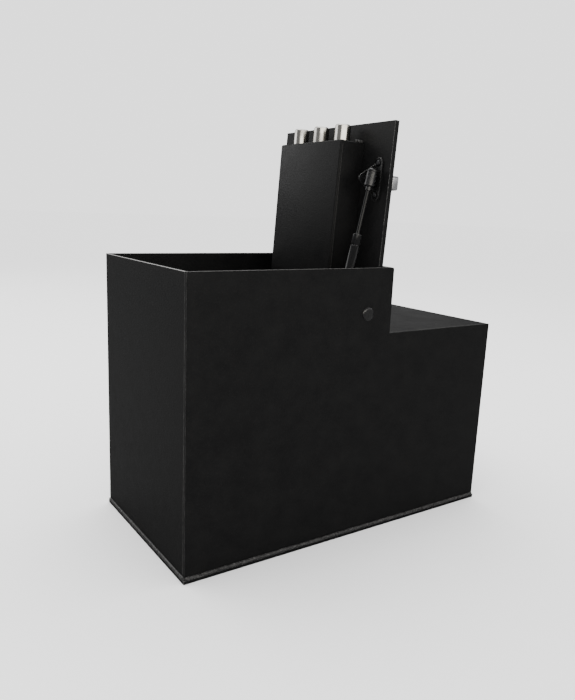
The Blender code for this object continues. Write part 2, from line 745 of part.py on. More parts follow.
def build_drive_plate(work):
    """Plate over the bolts, with the cross slot that the crank pin works in."""
    reach = CRANK_RADIUS - CRANK_RADIUS * math.cos(HANDLE_TURN / 2)
    pin_x = -HANDLE_U + BOLT_THROW / 2
    pin_y = HANDLE_Y - CRANK_RADIUS + reach / 2
    slot_y = SLOT_HALF + reach / 2
    slot = [
        (pin_x - SLOT_HALF, pin_y - slot_y),
        (pin_x + SLOT_HALF, pin_y - slot_y),
        (pin_x + SLOT_HALF, pin_y + slot_y),
        (pin_x - SLOT_HALF, pin_y + slot_y),
    ]
    half = DRIVE_PLATE_WIDTH / 2
    front, rear = -DRIVE_PLATE_FRONT, -DRIVE_PLATE_REAR
    outline = [
        (front, HANDLE_Y - half),
        (rear, HANDLE_Y - half),
        (rear, HANDLE_Y + half),
        (front, HANDLE_Y + half),
    ]
    place = (0.0, 0.0, (DRIVE_PLATE_BOTTOM + DRIVE_PLATE_TOP) / 2 - BOLT_Z)
    flat("drive_plate", [outline, slot], DRIVE_PLATE_THICKNESS, "zinc_steel", work, place, "XY")


# Handle, on a frame at its spindle's axis


def build_handle(handle):
    cam_bottom = DRIVE_PLATE_TOP + GAP
    cam_top = PLATE_ABOVE_PIVOT - GAP
    bore = SPINDLE_RADIUS + GAP
    cam = ring_profile(CAM_RADIUS, bore, cam_bottom, cam_top)
    turned("handle_cam", cam, "zinc_steel", handle, (0.0, 0.0, 0.0), hollow=True)
    rest = HANDLE_TURN / 2
    pin_place = (CRANK_RADIUS * math.sin(rest), -CRANK_RADIUS * math.cos(rest), 0.0)
    pin = rod_profile(CRANK_PIN_RADIUS, DRIVE_PLATE_BOTTOM + GAP, cam_bottom - GAP)
    turned("crank_pin", pin, "bright_steel", handle, pin_place, steps=24)
    hub_bottom = PLATE_OUTER + ESCUTCHEON_THICKNESS + 2 * GAP
    lever_bottom = PLATE_OUTER + LEVER_HEIGHT
    hub = ring_profile(HUB_RADIUS, bore, hub_bottom, lever_bottom - GAP)
    turned("handle_hub", hub, "satin_chrome", handle, (0.0, 0.0, 0.0), hollow=True)
    shaft = rod_profile(SPINDLE_RADIUS, cam_bottom, lever_bottom - GAP)
    turned("handle_spindle", shaft, "zinc_steel", handle, (0.0, 0.0, 0.0), steps=32)
    build_lever(handle, lever_bottom)


def build_lever(handle, bottom):
    """Arm that tapers from its boss to a squared end, square to the free edge."""
    corner_x = LEVER_TIP_HALF - LEVER_CORNER
    corner_y = LEVER_CORNER - LEVER_REACH
    boss = arc((0.0, 0.0), LEVER_ROOT_RADIUS, -20.0, 200.0, 22)
    grip = arc((-corner_x, corner_y), LEVER_CORNER, 180.0, 270.0, 5)
    grip += arc((corner_x, corner_y), LEVER_CORNER, 270.0, 360.0, 5)
    place = (0.0, 0.0, bottom + LEVER_THICKNESS / 2)
    lever = flat("handle_lever", [boss + grip], LEVER_THICKNESS, "satin_chrome", handle, place, "XY")
    weld = lever.modifiers.new("Join", "WELD")
    weld.merge_threshold = 0.00001
    edges = lever.modifiers.new("Edges", "BEVEL")
    edges.width = LEVER_EDGE
    edges.segments = 2


# Lock bolt, dial and wheel pack


def build_lock_bolt(bolt):
    half = LOCK_BOLT_WIDTH / 2
    low = (-LOCK_BOLT_TIP, COVER_MIDDLE - half, -LOCK_BOLT_HEIGHT / 2)
    high = (LOCK_BOLT_LENGTH - LOCK_BOLT_TIP, COVER_MIDDLE + half, LOCK_BOLT_HEIGHT / 2)
    box("lock_bolt", low, high, "brass", bolt, bevel=LOCK_BOLT_EDGE)


def build_dial(dial):
    floor = PLATE_OUTER + 2 * GAP + DIAL_RING_HEIGHT / 3
    rim = PLATE_OUTER + DIAL_RING_HEIGHT
    top = PLATE_OUTER + DIAL_HEIGHT
    neck = DIAL_KNOB_RADIUS
    profile = [
        (0.0, top),
        (neck - DIAL_EDGE, top),
        (neck, top - DIAL_EDGE),
        (neck, rim + DIAL_SKIRT_HEIGHT),
        (neck + DIAL_SKIRT, rim + DIAL_SKIRT_HEIGHT / 3),
        (DIAL_RADIUS, rim),
        (DIAL_RADIUS, floor + GAP),
        (0.0, floor + GAP),
    ]
    turned("dial_knob", profile, "black_enamel", dial, (0.0, 0.0, 0.0), steps=60)
    pack_top = LOCK_TOP - LOCK_WALL - SLIDING
    cam_top = pack_top - WHEEL_COUNT * WHEEL_PITCH
    cam_bottom = cam_top - WHEEL_THICKNESS
    shaft = rod_profile(DIAL_SPINDLE_RADIUS, cam_bottom, floor)
    turned("dial_spindle", shaft, "zinc_steel", dial, (0.0, 0.0, 0.0), steps=24)
    bore = DIAL_SPINDLE_RADIUS + GAP
    for number in range(WHEEL_COUNT):
        top = pack_top - number * WHEEL_PITCH
        gated_wheel(f"lock_wheel_{number + 1}", WHEEL_RADIUS, bore, top, number * GATE_STEP, dial)
    gated_wheel("drive_cam", WHEEL_RADIUS - CAM_INSET, bore, cam_top, 0.0, dial)


def gated_wheel(name, radius, bore, top, gate_angle, dial):
    """A disc with one notch in its rim."""
    gate = GATE_HALF_ANGLE
    depth = radius - GATE_DEPTH
    rim = arc((0.0, 0.0), radius, gate_angle + gate, gate_angle + 360.0 - gate, 40)
    notch = arc((0.0, 0.0), depth, gate_angle + 360.0 - gate, gate_angle + 360.0 + gate, 2)
    loops = [rim + notch, circle((0.0, 0.0), bore, 24)]
    place = (0.0, 0.0, top - WHEEL_THICKNESS / 2)
    flat(name, loops, WHEEL_THICKNESS, "brass", dial, place, "XY")


# Gas strut, on a frame whose Z runs up the strut from the lower ball


def socket(name, strut, height, reach_side, mouth_side):
    """Moulded end fitting with a cross bore for the ball, and a neck towards the tube or rod."""
    half = SOCKET_HALF * reach_side
    outer = [
        (0.0, -half),
        (SOCKET_RADIUS - SOCKET_CHAMFER, -half),
        (SOCKET_RADIUS, -half + SOCKET_CHAMFER * reach_side),
        (SOCKET_RADIUS, half - SOCKET_CHAMFER * reach_side),
        (SOCKET_NECK_RADIUS, half),
        (SOCKET_NECK_RADIUS, SOCKET_REACH * reach_side),
        (0.0, SOCKET_REACH * reach_side),
    ]
    profile = outer if reach_side < 0 else outer[::-1]
    body = turned(name, profile, "socket_plastic", strut, (0.0, 0.0, height), steps=32)
    bore = rod_profile(BALL_RADIUS + RUNNING, -BALL_RADIUS - RUNNING, 2 * SOCKET_RADIUS)
    place = (0.0, 0.0, height)
    cutter = turned(f"{name}_bore", bore, "socket_plastic", strut, place, "Y", steps=28)
    if mouth_side < 0:
        cutter.rotation_euler = (math.pi / 2, 0.0, 0.0)
    combine(body, cutter)


def build_tube(strut):
    """Cylinder with a rolled crimp near its mouth and a bore that the rod and piston run in."""
    bottom = SOCKET_REACH + GAP
    mouth = TUBE_END
    bore = TUBE_RADIUS - TUBE_WALL
    crimp = mouth - TUBE_CRIMP
    neck = ROD_RADIUS + RUNNING
    gland = crimp - 2 * TUBE_WALL
    profile = [
        (neck, mouth),
        (TUBE_RADIUS - TUBE_EDGE, mouth),
        (TUBE_RADIUS, mouth - TUBE_EDGE),
        (TUBE_RADIUS, crimp + CRIMP_HALF),
        (TUBE_RADIUS - TUBE_EDGE, crimp),
        (TUBE_RADIUS, crimp - CRIMP_HALF),
        (TUBE_RADIUS, bottom + TUBE_EDGE),
        (TUBE_RADIUS - TUBE_EDGE, bottom),
        (0.0, bottom),
        (0.0, bottom + TUBE_PLUG),
        (bore, bottom + TUBE_PLUG),
        (bore, gland),
        (neck, gland),
    ]
    turned("strut_tube", profile, "black_enamel", strut, (0.0, 0.0, 0.0), hollow=True, steps=32)


def build_rod(strut, length):
    gland = TUBE_END - TUBE_CRIMP - 2 * TUBE_WALL
    piston_top = gland - 2 * GAP
    piston_bottom = piston_top - PISTON_LENGTH
    piston = rod_profile(TUBE_RADIUS - TUBE_WALL - RUNNING, piston_bottom, piston_top - GAP)
    turned("strut_piston", piston, "brass", strut, (0.0, 0.0, 0.0), steps=32)
    rod = rod_profile(ROD_RADIUS, piston_top, length - SOCKET_REACH - GAP)
    turned("strut_rod", rod, "black_enamel", strut, (0.0, 0.0, 0.0), steps=24)
    socket("strut_upper_socket", strut, length, -1, 1)
    reach = BRACKET_LOBE_RADIUS - GAP
    stud = turned(
        "strut_upper_stud", stud_profile(reach), "zinc_steel", strut, (0.0, 0.0, length), "Y", steps=24
    )
    stud.rotation_euler = (math.pi / 2, 0.0, 0.0)


def strut_line():
    """Length and lean of the strut with the door open, from lower ball to upper ball."""
    cosine, sine = math.cos(OPEN_ANGLE), math.sin(OPEN_ANGLE)
    stud_x = PIVOT_X - STUD_FROM_PIVOT * cosine + STUD_Z * sine
    stud_z = PIVOT_Z + STUD_FROM_PIVOT * sine + STUD_Z * cosine
    run, rise = stud_x - ANCHOR_X, stud_z - ANCHOR_Z
    return math.hypot(run, rise), math.atan2(run, rise)


def build_all():
    body = frame_at("body_frame", None, (-LENGTH / 2, -WIDTH / 2, 0.0))
    for build in (
        build_base,
        build_base_weld,
        build_side_walls,
        build_cross_walls,
        build_strike,
        build_hinge_pin,
        build_spacers,
        build_wall_bracket,
    ):
        build(body)
    door = frame_at("door_hinge_axis", body, (PIVOT_X, 0.0, PIVOT_Z), OPEN_ANGLE)
    for build in (
        build_door_plate,
        build_lugs,
        build_cover,
        build_cover_welds,
        build_guide,
        build_strut_bracket,
        build_bracket_screws,
        build_lock_case,
        build_escutcheon,
        build_dial_ring,
    ):
        build(door)
    work = frame_at("bolt_axis", door, (0.0, 0.0, BOLT_Z))
    build_bolts(work)
    build_bolt_bar(work)
    build_drive_plate(work)
    build_handle(frame_at("handle_axis", door, (-HANDLE_U, HANDLE_Y, 0.0)))
    build_lock_bolt(frame_at("lock_bolt_axis", door, (0.0, 0.0, LOCK_BOLT_Z)))
    build_dial(frame_at("dial_axis", door, (-DIAL_U, COVER_MIDDLE, 0.0)))
    length, lean = strut_line()
    strut = frame_at("strut_axis", body, (ANCHOR_X, STRUT_Y, ANCHOR_Z), lean)
    socket("strut_lower_socket", strut, 0.0, 1, -1)
    build_tube(strut)
    build_rod(strut, length)


build_all()
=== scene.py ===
"""Finishes, weld detail and fittings for a welded in-floor safe with an open boltwork door."""

import json
import math
import random

import bmesh
import bpy
from mathutils import Matrix, Vector


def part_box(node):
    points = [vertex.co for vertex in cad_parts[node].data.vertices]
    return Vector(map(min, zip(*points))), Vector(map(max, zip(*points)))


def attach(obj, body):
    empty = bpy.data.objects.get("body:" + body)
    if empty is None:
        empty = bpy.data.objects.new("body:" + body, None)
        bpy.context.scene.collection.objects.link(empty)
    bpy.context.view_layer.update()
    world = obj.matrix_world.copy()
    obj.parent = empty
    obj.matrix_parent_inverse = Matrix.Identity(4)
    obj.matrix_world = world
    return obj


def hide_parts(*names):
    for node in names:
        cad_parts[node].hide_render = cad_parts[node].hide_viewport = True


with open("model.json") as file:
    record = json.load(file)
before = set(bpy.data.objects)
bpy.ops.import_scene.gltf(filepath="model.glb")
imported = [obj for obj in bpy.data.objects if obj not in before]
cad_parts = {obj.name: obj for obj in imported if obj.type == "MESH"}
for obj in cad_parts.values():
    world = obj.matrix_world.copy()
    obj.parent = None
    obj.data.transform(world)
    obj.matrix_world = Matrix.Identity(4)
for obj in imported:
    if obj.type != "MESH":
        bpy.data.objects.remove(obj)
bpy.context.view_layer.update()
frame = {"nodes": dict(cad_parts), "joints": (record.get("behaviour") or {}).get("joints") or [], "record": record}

bl_info = {
    "name": "In-floor Safe",
    "version": (1, 0, 0),
    "blender": (4, 5, 0),
    "location": "View3D > Sidebar > Safe",
    "description": "Finishes, welds, lock fittings and studio for an in-floor safe",
    "category": "Object",
}

RINGS_PER_RIPPLE = 5
RIPPLE_DEPTH = 0.20
RIPPLE_DRIFT = 0.06
END_ROUND = 0.35
BEAD_INSET = 0.62
BEAD_LIFT = 0.35
BUTTON_SEEDS = {"near_pin_weld": 5, "far_pin_weld": 6}
BUTTON_WAVES = (0.01, 0.035)
BUTTON_TURNS = (2, 3, 5, 8)
BUTTON_FLATNESS = 1.1
RUN_INWARD = 1.2
RUN_OUTWARD = 0.95
RUN_PITCH_SHARE = 0.7
DIAL_STROKES = 100
MARK_DEPTH = 0.0002
MARK_MARGIN = 0.0008
STROKE_WIDTH = 0.0004
INDEX_WIDTH = 0.0009
INDEX_LENGTH = 0.0030
FONT_SIZE_PER_HEIGHT = 0.9
SKIRT_RISE = 0.0020
SKIRT_WIDTH = 0.012
SKIRT_DROP = 0.0003
GRIP_RADIUS = 0.0198
GRIP_FLUTES = 20
GRIP_FOOT = 0.0072
GRIP_SHOULDER = 0.0030
GRIP_EDGE = 0.0006
FLUTE_DEPTH = 0.0007
CLIP_RADIUS = 0.0085
CLIP_SETBACK = 0.0045
CLIP_HEIGHT = 0.0022
CLIP_SHEET = 0.0006
CLIP_LIP = 0.0002
SEAM_PITCH = 0.006
COVER_SEAM_PITCH = 0.005
SEAM_LUMP = 0.08
SEAM_SUNK_SHARE = 0.80
SEAM_FOOT = 0.006
SEAM_STOP = 0.003
SEAM_END = 0.004
SEAM_INSET = 0.0045
SEAM_SINK = 0.0008
NODES = frame["nodes"]
RECORD = frame["record"]
JOINTS = {joint["name"]: joint for joint in frame["joints"]}
SLOT_OF = {part["node"]: part["material_slot"] for part in RECORD["subparts"]}
BODY_OF = {node: body for body, nodes in RECORD["behaviour"]["bodies"].items() for node in nodes}
DOOR_UP = Vector(JOINTS["bolt_throw"]["axis"]).normalized()
DOOR_OUT = Vector(JOINTS["dial_spin"]["axis"]).normalized()
STRUT_UP = Vector(JOINTS["strut_stroke"]["axis"]).normalized()
ACROSS = Vector((0.0, 1.0, 0.0))
UP = Vector((0.0, 0.0, 1.0))
DOOR_LEAN = math.atan2(DOOR_UP.x, DOOR_UP.z)
SHOULDER_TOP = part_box("shoulder_plate")[1].z


# Settings


def length(name, description, default, low, high):
    return bpy.props.FloatProperty(
        name=name,
        description=description,
        default=default,
        min=low,
        max=high,
        subtype="DISTANCE",
        unit="LENGTH",
    )


def factor(name, description, default):
    return bpy.props.FloatProperty(
        name=name, description=description, default=default, min=0.0, max=1.0, subtype="FACTOR"
    )


def colour(name, description, default):
    return bpy.props.FloatVectorProperty(
        name=name, description=description, default=default, size=3, min=0.0, max=1.0, subtype="COLOR"
    )


def power(name, description, default):
    return bpy.props.FloatProperty(name=name, description=description, default=default, min=0.0)


class SafeSizes(bpy.types.PropertyGroup):
    """Sizes of the worked detail on the safe."""

    edge_radius: length("Plate edge", "Rounding of the body plates' edges", 0.0008, 0.0001, 0.002)
    small_edge: length("Fitting edge", "Rounding of the small fittings' edges", 0.0004, 0.0001, 0.001)
    bead_radius: length("Weld bead", "Radius of the fillet bead round the foot", 0.0031, 0.001, 0.004)
    bead_pitch: length("Bead pitch", "Distance between two ripples of the bead", 0.0042, 0.002, 0.01)
    seam_radius: length("Corner seam", "Radius of the body's ground seams", 0.0013, 0.0005, 0.003)
    button_rise: length("Weld button", "Height of the ground weld on the pin", 0.0022, 0.0005, 0.004)
    tick_length: length("Dial tick", "Length of the dial's long marks", 0.0040, 0.002, 0.006)
    digit_height: length("Dial digits", "Height of the dial's numbers", 0.0052, 0.003, 0.01)


class SafeFinishes(bpy.types.PropertyGroup):
    """Colours and gloss of the safe's finishes."""

    coat: colour("Powder coat", "Black powder coat", (0.0043, 0.0043, 0.0045))
    coat_worn: colour("Powder coat, dusty", "Powder coat where dust has settled", (0.0082, 0.0081, 0.0078))
    # Edge colour: partly coat rubbed thin, partly a painted highlight for the light caught along the rounded
    # edges.
    rubbed: colour("Rubbed edge and painted highlight", "Coat rubbed thin along the edges", (0.28, 0.274, 0.266))
    coat_roughness: factor("Coat roughness", "Roughness of the powder coat", 0.40)
    bead: colour("Weld", "Weld under a thin coat", (0.060, 0.058, 0.056))
    steel: colour("Bright steel", "Turned steel of the locking bolts", (0.66, 0.64, 0.60))
    zinc: colour("Zinc", "Zinc plated fittings", (0.46, 0.47, 0.48))
    chrome: colour("Satin chrome", "Lever, rings and piston rod", (0.74, 0.74, 0.75))
    brass: colour("Brass", "Lock bolt and wheels", (0.62, 0.44, 0.17))
    enamel: colour("Enamel", "Black enamel of the gas strut and the dial", (0.0045, 0.0045, 0.0048))
    oxide: colour("Black oxide", "Screws and spring clips of the gas strut", (0.05, 0.05, 0.052))
    nylon: colour("Nylon", "Moulded ball sockets", (0.014, 0.014, 0.0145))
    cast: colour("Cast zinc", "Die-cast body of the lock", (0.42, 0.42, 0.43))
    cast_dull: colour("Cast zinc, dull", "Die-cast zinc where it has dulled", (0.33, 0.33, 0.34))
    marks: colour("Dial marks", "Paint of the dial's marks", (0.72, 0.72, 0.70))
    marks_dull: colour("Dial marks, dull", "Paint of the marks where it has yellowed", (0.62, 0.61, 0.58))


class SafeStudio(bpy.types.PropertyGroup):
    """Camera and light."""

    lens: bpy.props.FloatProperty(
        name="Lens", description="Focal length", default=33.86, min=10.0, max=200.0, unit="CAMERA"
    )
    floor: colour("Floor", "Floor and backdrop", (0.97, 0.97, 0.97))
    sky: power("Sky", "Strength of the even light", 2.0)
    key: power("Key", "Power of the large overhead light", 44.0)
    side: power("Side", "Power of the light at the left rear", 31.0)
    front: power("Front", "Power of the card behind the camera", 27.0)
    right: power("Right", "Power of the card at the right", 3.6)
    top: power("Top strip", "Power of the high strip behind", 6.0)
    rear: power("Rear", "Power of the light at the right rear", 1.2)


def sizes():
    return bpy.context.scene.safe_sizes


def finishes():
    return bpy.context.scene.safe_finishes


# Shader groups


def new_group(name, inputs, outputs):
    """An empty node group. Inputs are (name, default), outputs are (name, socket type)."""
    tree = bpy.data.node_groups.new(name, "ShaderNodeTree")
    for title, default in inputs:
        socket = tree.interface.new_socket(name=title, in_out="INPUT", socket_type="NodeSocketFloat")
        socket.default_value = default
    tree.interface.new_socket(name="Vector", in_out="INPUT", socket_type="NodeSocketVector")
    for title, kind in outputs:
        tree.interface.new_socket(name=title, in_out="OUTPUT", socket_type=kind)
    return tree, tree.nodes.new("NodeGroupInput"), tree.nodes.new("NodeGroupOutput")


def wire(tree, *pairs):
    for start, end in pairs:
        tree.links.new(start, end)


def noise_node(tree, scale, detail=2.0, roughness=0.5):
    node = tree.nodes.new("ShaderNodeTexNoise")
    node.inputs["Scale"].default_value = scale
    node.inputs["Detail"].default_value = detail
    node.inputs["Roughness"].default_value = roughness
    return node


def math_node(tree, operation, first=0.5, second=0.5, clamp=False):
    node = tree.nodes.new("ShaderNodeMath")
    node.operation = operation
    node.use_clamp = clamp
    node.inputs[0].default_value = first
    node.inputs[1].default_value = second
    return node


def range_node(tree, low, high, to_low, to_high):
    node = tree.nodes.new("ShaderNodeMapRange")
    node.inputs["From Min"].default_value = low
    node.inputs["From Max"].default_value = high
    node.inputs["To Min"].default_value = to_low
    node.inputs["To Max"].default_value = to_high
    return node


def mapping_node(tree, scale, rotation=(0.0, 0.0, 0.0), location=(0.0, 0.0, 0.0)):
    node = tree.nodes.new("ShaderNodeMapping")
    node.inputs["Scale"].default_value = scale
    node.inputs["Rotation"].default_value = rotation
    node.inputs["Location"].default_value = location
    return node


def orange_peel_group():
    """Fine pebble of sprayed powder, with a slow drift and settled dust."""
    tree, source, sink = new_group(
        "Orange peel",
        [("Pebble", 900.0), ("Drift", 9.0)],
        [("Height", "NodeSocketFloat"), ("Dust", "NodeSocketFloat")],
    )
    pebble = noise_node(tree, 900.0, 3.0, 0.55)
    cell = tree.nodes.new("ShaderNodeTexVoronoi")
    cell.feature = "SMOOTH_F1"
    drift = noise_node(tree, 9.0, 5.0, 0.78)
    speck = noise_node(tree, 900.0, 1.0, 0.5)
    spread = range_node(tree, 0.35, 0.75, 0.0, 0.75)
    peaks = range_node(tree, 0.60, 0.72, 0.0, 0.8)
    height = math_node(tree, "ADD")
    half = math_node(tree, "MULTIPLY", second=0.6)
    dust = math_node(tree, "ADD", clamp=True)
    wire(
        tree,
        (source.outputs["Vector"], pebble.inputs["Vector"]),
        (source.outputs["Vector"], cell.inputs["Vector"]),
        (source.outputs["Vector"], drift.inputs["Vector"]),
        (source.outputs["Vector"], speck.inputs["Vector"]),
        (source.outputs["Pebble"], pebble.inputs["Scale"]),
        (source.outputs["Pebble"], cell.inputs["Scale"]),
        (source.outputs["Pebble"], speck.inputs["Scale"]),
        (source.outputs["Drift"], drift.inputs["Scale"]),
        (cell.outputs["Distance"], half.inputs[0]),
        (pebble.outputs["Fac"], height.inputs[0]),
        (half.outputs[0], height.inputs[1]),
        (height.outputs[0], sink.inputs["Height"]),
        (drift.outputs["Fac"], spread.inputs["Value"]),
        (speck.outputs["Fac"], peaks.inputs["Value"]),
        (spread.outputs["Result"], dust.inputs[0]),
        (peaks.outputs["Result"], dust.inputs[1]),
        (dust.outputs[0], sink.inputs["Dust"]),
    )
    return tree


def tool_mark_group():
    """Fine parallel marks of a lathe or a brush, along the vector's Z, with smudges."""
    tree, source, sink = new_group(
        "Tool marks",
        [("Pitch", 2600.0), ("Smudge", 40.0)],
        [("Height", "NodeSocketFloat"), ("Smudge", "NodeSocketFloat")],
    )
    squeeze = mapping_node(tree, (0.02, 0.02, 1.0))
    marks = noise_node(tree, 2600.0, 3.0, 0.7)
    smudge = noise_node(tree, 40.0, 4.0, 0.6)
    spread = range_node(tree, 0.38, 0.68, 0.0, 1.0)
    wire(
        tree,
        (source.outputs["Vector"], squeeze.inputs["Vector"]),
        (squeeze.outputs["Vector"], marks.inputs["Vector"]),
        (source.outputs["Vector"], smudge.inputs["Vector"]),
        (source.outputs["Pitch"], marks.inputs["Scale"]),
        (source.outputs["Smudge"], smudge.inputs["Scale"]),
        (marks.outputs["Fac"], sink.inputs["Height"]),
        (smudge.outputs["Fac"], spread.inputs["Value"]),
        (spread.outputs["Result"], sink.inputs["Smudge"]),
    )
    return tree


GROUPS = {}


def placed_group(tree, name, values):
    node = tree.nodes.new("ShaderNodeGroup")
    node.node_tree = GROUPS[name]
    for title, value in values.items():
        node.inputs[title].default_value = value
    return node


# Materials


def blank_material(name):
    material = bpy.data.materials.new(name)
    material.use_nodes = True
    return material, material.node_tree, material.node_tree.nodes["Principled BSDF"]


def object_vector(tree, lean=0.0):
    """Object coordinates, turned so that Z runs up the door."""
    coords = tree.nodes.new("ShaderNodeTexCoord")
    turn = mapping_node(tree, (1.0, 1.0, 1.0), (0.0, -lean, 0.0))
    wire(tree, (coords.outputs["Object"], turn.inputs["Vector"]))
    return turn.outputs["Vector"]


def tinted(tree, mask, first, second):
    mix = tree.nodes.new("ShaderNodeMix")
    mix.data_type = "RGBA"
    mix.inputs["A"].default_value = (*first, 1.0)
    mix.inputs["B"].default_value = (*second, 1.0)
    wire(tree, (mask, mix.inputs["Factor"]))
    return mix.outputs["Result"]


def bumped(tree, height, distance, strength):
    bump = tree.nodes.new("ShaderNodeBump")
    bump.inputs["Distance"].default_value = distance
    bump.inputs["Strength"].default_value = strength
    wire(tree, (height, bump.inputs["Height"]))
    return bump.outputs["Normal"]


def coat_material(name, first, second, rough, pebble=900.0, depth=0.00006, specular=0.5, drift=9.0):
    """Sprayed coat: pebbled, with dust in the hollows."""
    material, tree, shader = blank_material(name)
    vector = object_vector(tree)
    peel = placed_group(tree, "Orange peel", {"Pebble": pebble, "Drift": drift})
    gloss = range_node(tree, 0.0, 1.0, rough, min(rough + 0.14, 1.0))
    wire(
        tree,
        (vector, peel.inputs["Vector"]),
        (peel.outputs["Dust"], gloss.inputs["Value"]),
        (gloss.outputs["Result"], shader.inputs["Roughness"]),
        (tinted(tree, peel.outputs["Dust"], first, second), shader.inputs["Base Color"]),
        (bumped(tree, peel.outputs["Height"], depth, 0.8), shader.inputs["Normal"]),
    )
    shader.inputs["Specular IOR Level"].default_value = specular
    return material


def metal_material(name, base, rough, lean=0.0, pitch=2600.0, depth=0.00001, smudge=40.0):
    """Bare metal with tool marks and smudges."""
    material, tree, shader = blank_material(name)
    vector = object_vector(tree, lean)
    marks = placed_group(tree, "Tool marks", {"Pitch": pitch, "Smudge": smudge})
    gloss = range_node(tree, 0.0, 1.0, rough, min(rough + 0.16, 1.0))
    dull = tuple(channel * 0.78 for channel in base)
    wire(
        tree,
        (vector, marks.inputs["Vector"]),
        (marks.outputs["Smudge"], gloss.inputs["Value"]),
        (gloss.outputs["Result"], shader.inputs["Roughness"]),
        (tinted(tree, marks.outputs["Smudge"], base, dull), shader.inputs["Base Color"]),
        (bumped(tree, marks.outputs["Height"], depth, 0.6), shader.inputs["Normal"]),
    )
    shader.inputs["Metallic"].default_value = 1.0
    return material


def edge_material(name, plain, rubbed, rough):
    """Coat along an edge: lighter where the edge faces up and stands above the shoulder, partly rubbed wear and
    partly a painted highlight where light from above catches the rim.
    """
    material, tree, shader = blank_material(name)
    vector = object_vector(tree)
    peel = placed_group(tree, "Orange peel", {"Pebble": 500.0, "Drift": 60.0})
    geometry = tree.nodes.new("ShaderNodeNewGeometry")
    split = tree.nodes.new("ShaderNodeSeparateXYZ")
    place = tree.nodes.new("ShaderNodeSeparateXYZ")
    # Edges that face up above the shoulder get the lighter colour: a painted highlight of light from above on the
    # rims, partly rubbed wear.
    facing = range_node(tree, 0.15, 0.75, 0.0, 1.0)
    above_shoulder = range_node(tree, SHOULDER_TOP + 0.01, SHOULDER_TOP + 0.03, 0.06, 1.0)
    rim_wear_and_highlight = math_node(tree, "MULTIPLY")
    patchy = math_node(tree, "MULTIPLY", second=0.3)
    worn_and_highlight = math_node(tree, "ADD", clamp=True)
    wire(
        tree,
        (vector, peel.inputs["Vector"]),
        (geometry.outputs["Normal"], split.inputs["Vector"]),
        (split.outputs["Z"], facing.inputs["Value"]),
        (vector, place.inputs["Vector"]),
        (place.outputs["Z"], above_shoulder.inputs["Value"]),
        (facing.outputs["Result"], rim_wear_and_highlight.inputs[0]),
        (above_shoulder.outputs["Result"], rim_wear_and_highlight.inputs[1]),
        (rim_wear_and_highlight.outputs[0], worn_and_highlight.inputs[0]),
        (peel.outputs["Dust"], patchy.inputs[0]),
        (patchy.outputs[0], worn_and_highlight.inputs[1]),
        (tinted(tree, worn_and_highlight.outputs[0], plain, rubbed), shader.inputs["Base Color"]),
        (bumped(tree, peel.outputs["Height"], 0.00004, 0.8), shader.inputs["Normal"]),
    )
    shader.inputs["Roughness"].default_value = rough
    shader.inputs["Specular IOR Level"].default_value = 0.4
    return material


MATERIALS = {}


def build_materials():
    look = finishes()
    GROUPS["Orange peel"] = orange_peel_group()
    GROUPS["Tool marks"] = tool_mark_group()
    MATERIALS["powder_coat"] = coat_material(
        "Powder coat",
        look.coat,
        look.coat_worn,
        look.coat_roughness,
        pebble=460.0,
        depth=0.0003,
        specular=0.13,
        drift=26.0,
    )
    # These coats make the bevel faces lighter: partly rubbed wear, partly a painted highlight along the edges.
    MATERIALS["rubbed_coat_and_highlight"] = coat_material(
        "Rubbed coat and painted highlight", look.coat, look.rubbed, 0.30, pebble=500.0, depth=0.00003, specular=0.4, drift=240.0
    )
    MATERIALS["rubbed_enamel_and_highlight"] = coat_material(
        "Rubbed enamel and painted highlight",
        look.enamel,
        look.rubbed,
        0.20,
        pebble=900.0,
        depth=0.00002,
        specular=0.5,
        drift=190.0,
    )
    MATERIALS["body_edge"] = edge_material("Body edge", look.coat_worn, look.rubbed, 0.30)
    MATERIALS["seam_coat"] = coat_material(
        "Ground seam", look.coat, look.coat_worn, 0.32, pebble=420.0, depth=0.0002, specular=0.34, drift=60.0
    )
    MATERIALS["weld_bead"] = coat_material(
        "Coated weld", look.coat, look.bead, 0.26, pebble=330.0, depth=0.00035, specular=0.5, drift=110.0
    )
    MATERIALS["weld_button"] = coat_material(
        "Ground weld", look.coat, look.coat_worn, 0.12, pebble=230.0, depth=0.0006, specular=0.6, drift=90.0
    )
    MATERIALS["bright_steel"] = metal_material("Turned steel", look.steel, 0.15, DOOR_LEAN, depth=0.000004)
    MATERIALS["zinc_steel"] = metal_material(
        "Zinc plate", look.zinc, 0.34, pitch=1500.0, depth=0.000005, smudge=160.0
    )
    MATERIALS["satin_chrome"] = metal_material(
        "Satin chrome", look.chrome, 0.22, DOOR_LEAN, pitch=2400.0, depth=0.000003
    )
    MATERIALS["cast_zinc"] = coat_material(
        "Die-cast zinc", look.cast, look.cast_dull, 0.38, pebble=520.0, depth=0.00005
    )
    MATERIALS["cast_zinc"].node_tree.nodes["Principled BSDF"].inputs["Metallic"].default_value = 1.0
    MATERIALS["brass"] = metal_material("Machined brass", look.brass, 0.28, DOOR_LEAN, pitch=2000.0)
    MATERIALS["black_enamel"] = coat_material(
        "Black enamel",
        look.enamel,
        look.coat_worn,
        0.13,
        pebble=1400.0,
        depth=0.00002,
        specular=0.22,
        drift=60.0,
    )
    MATERIALS["black_oxide"] = metal_material("Black oxide", look.oxide, 0.26, pitch=1500.0, smudge=300.0)
    MATERIALS["socket_plastic"] = coat_material(
        "Moulded nylon", look.coat, look.nylon, 0.20, pebble=300.0, depth=0.0002, specular=0.6, drift=240.0
    )
    MATERIALS["marks"] = coat_material(
        "Mark paint", look.marks, look.marks_dull, 0.45, pebble=3000.0, depth=0.00001, drift=500.0
    )


# Making and finishing pieces


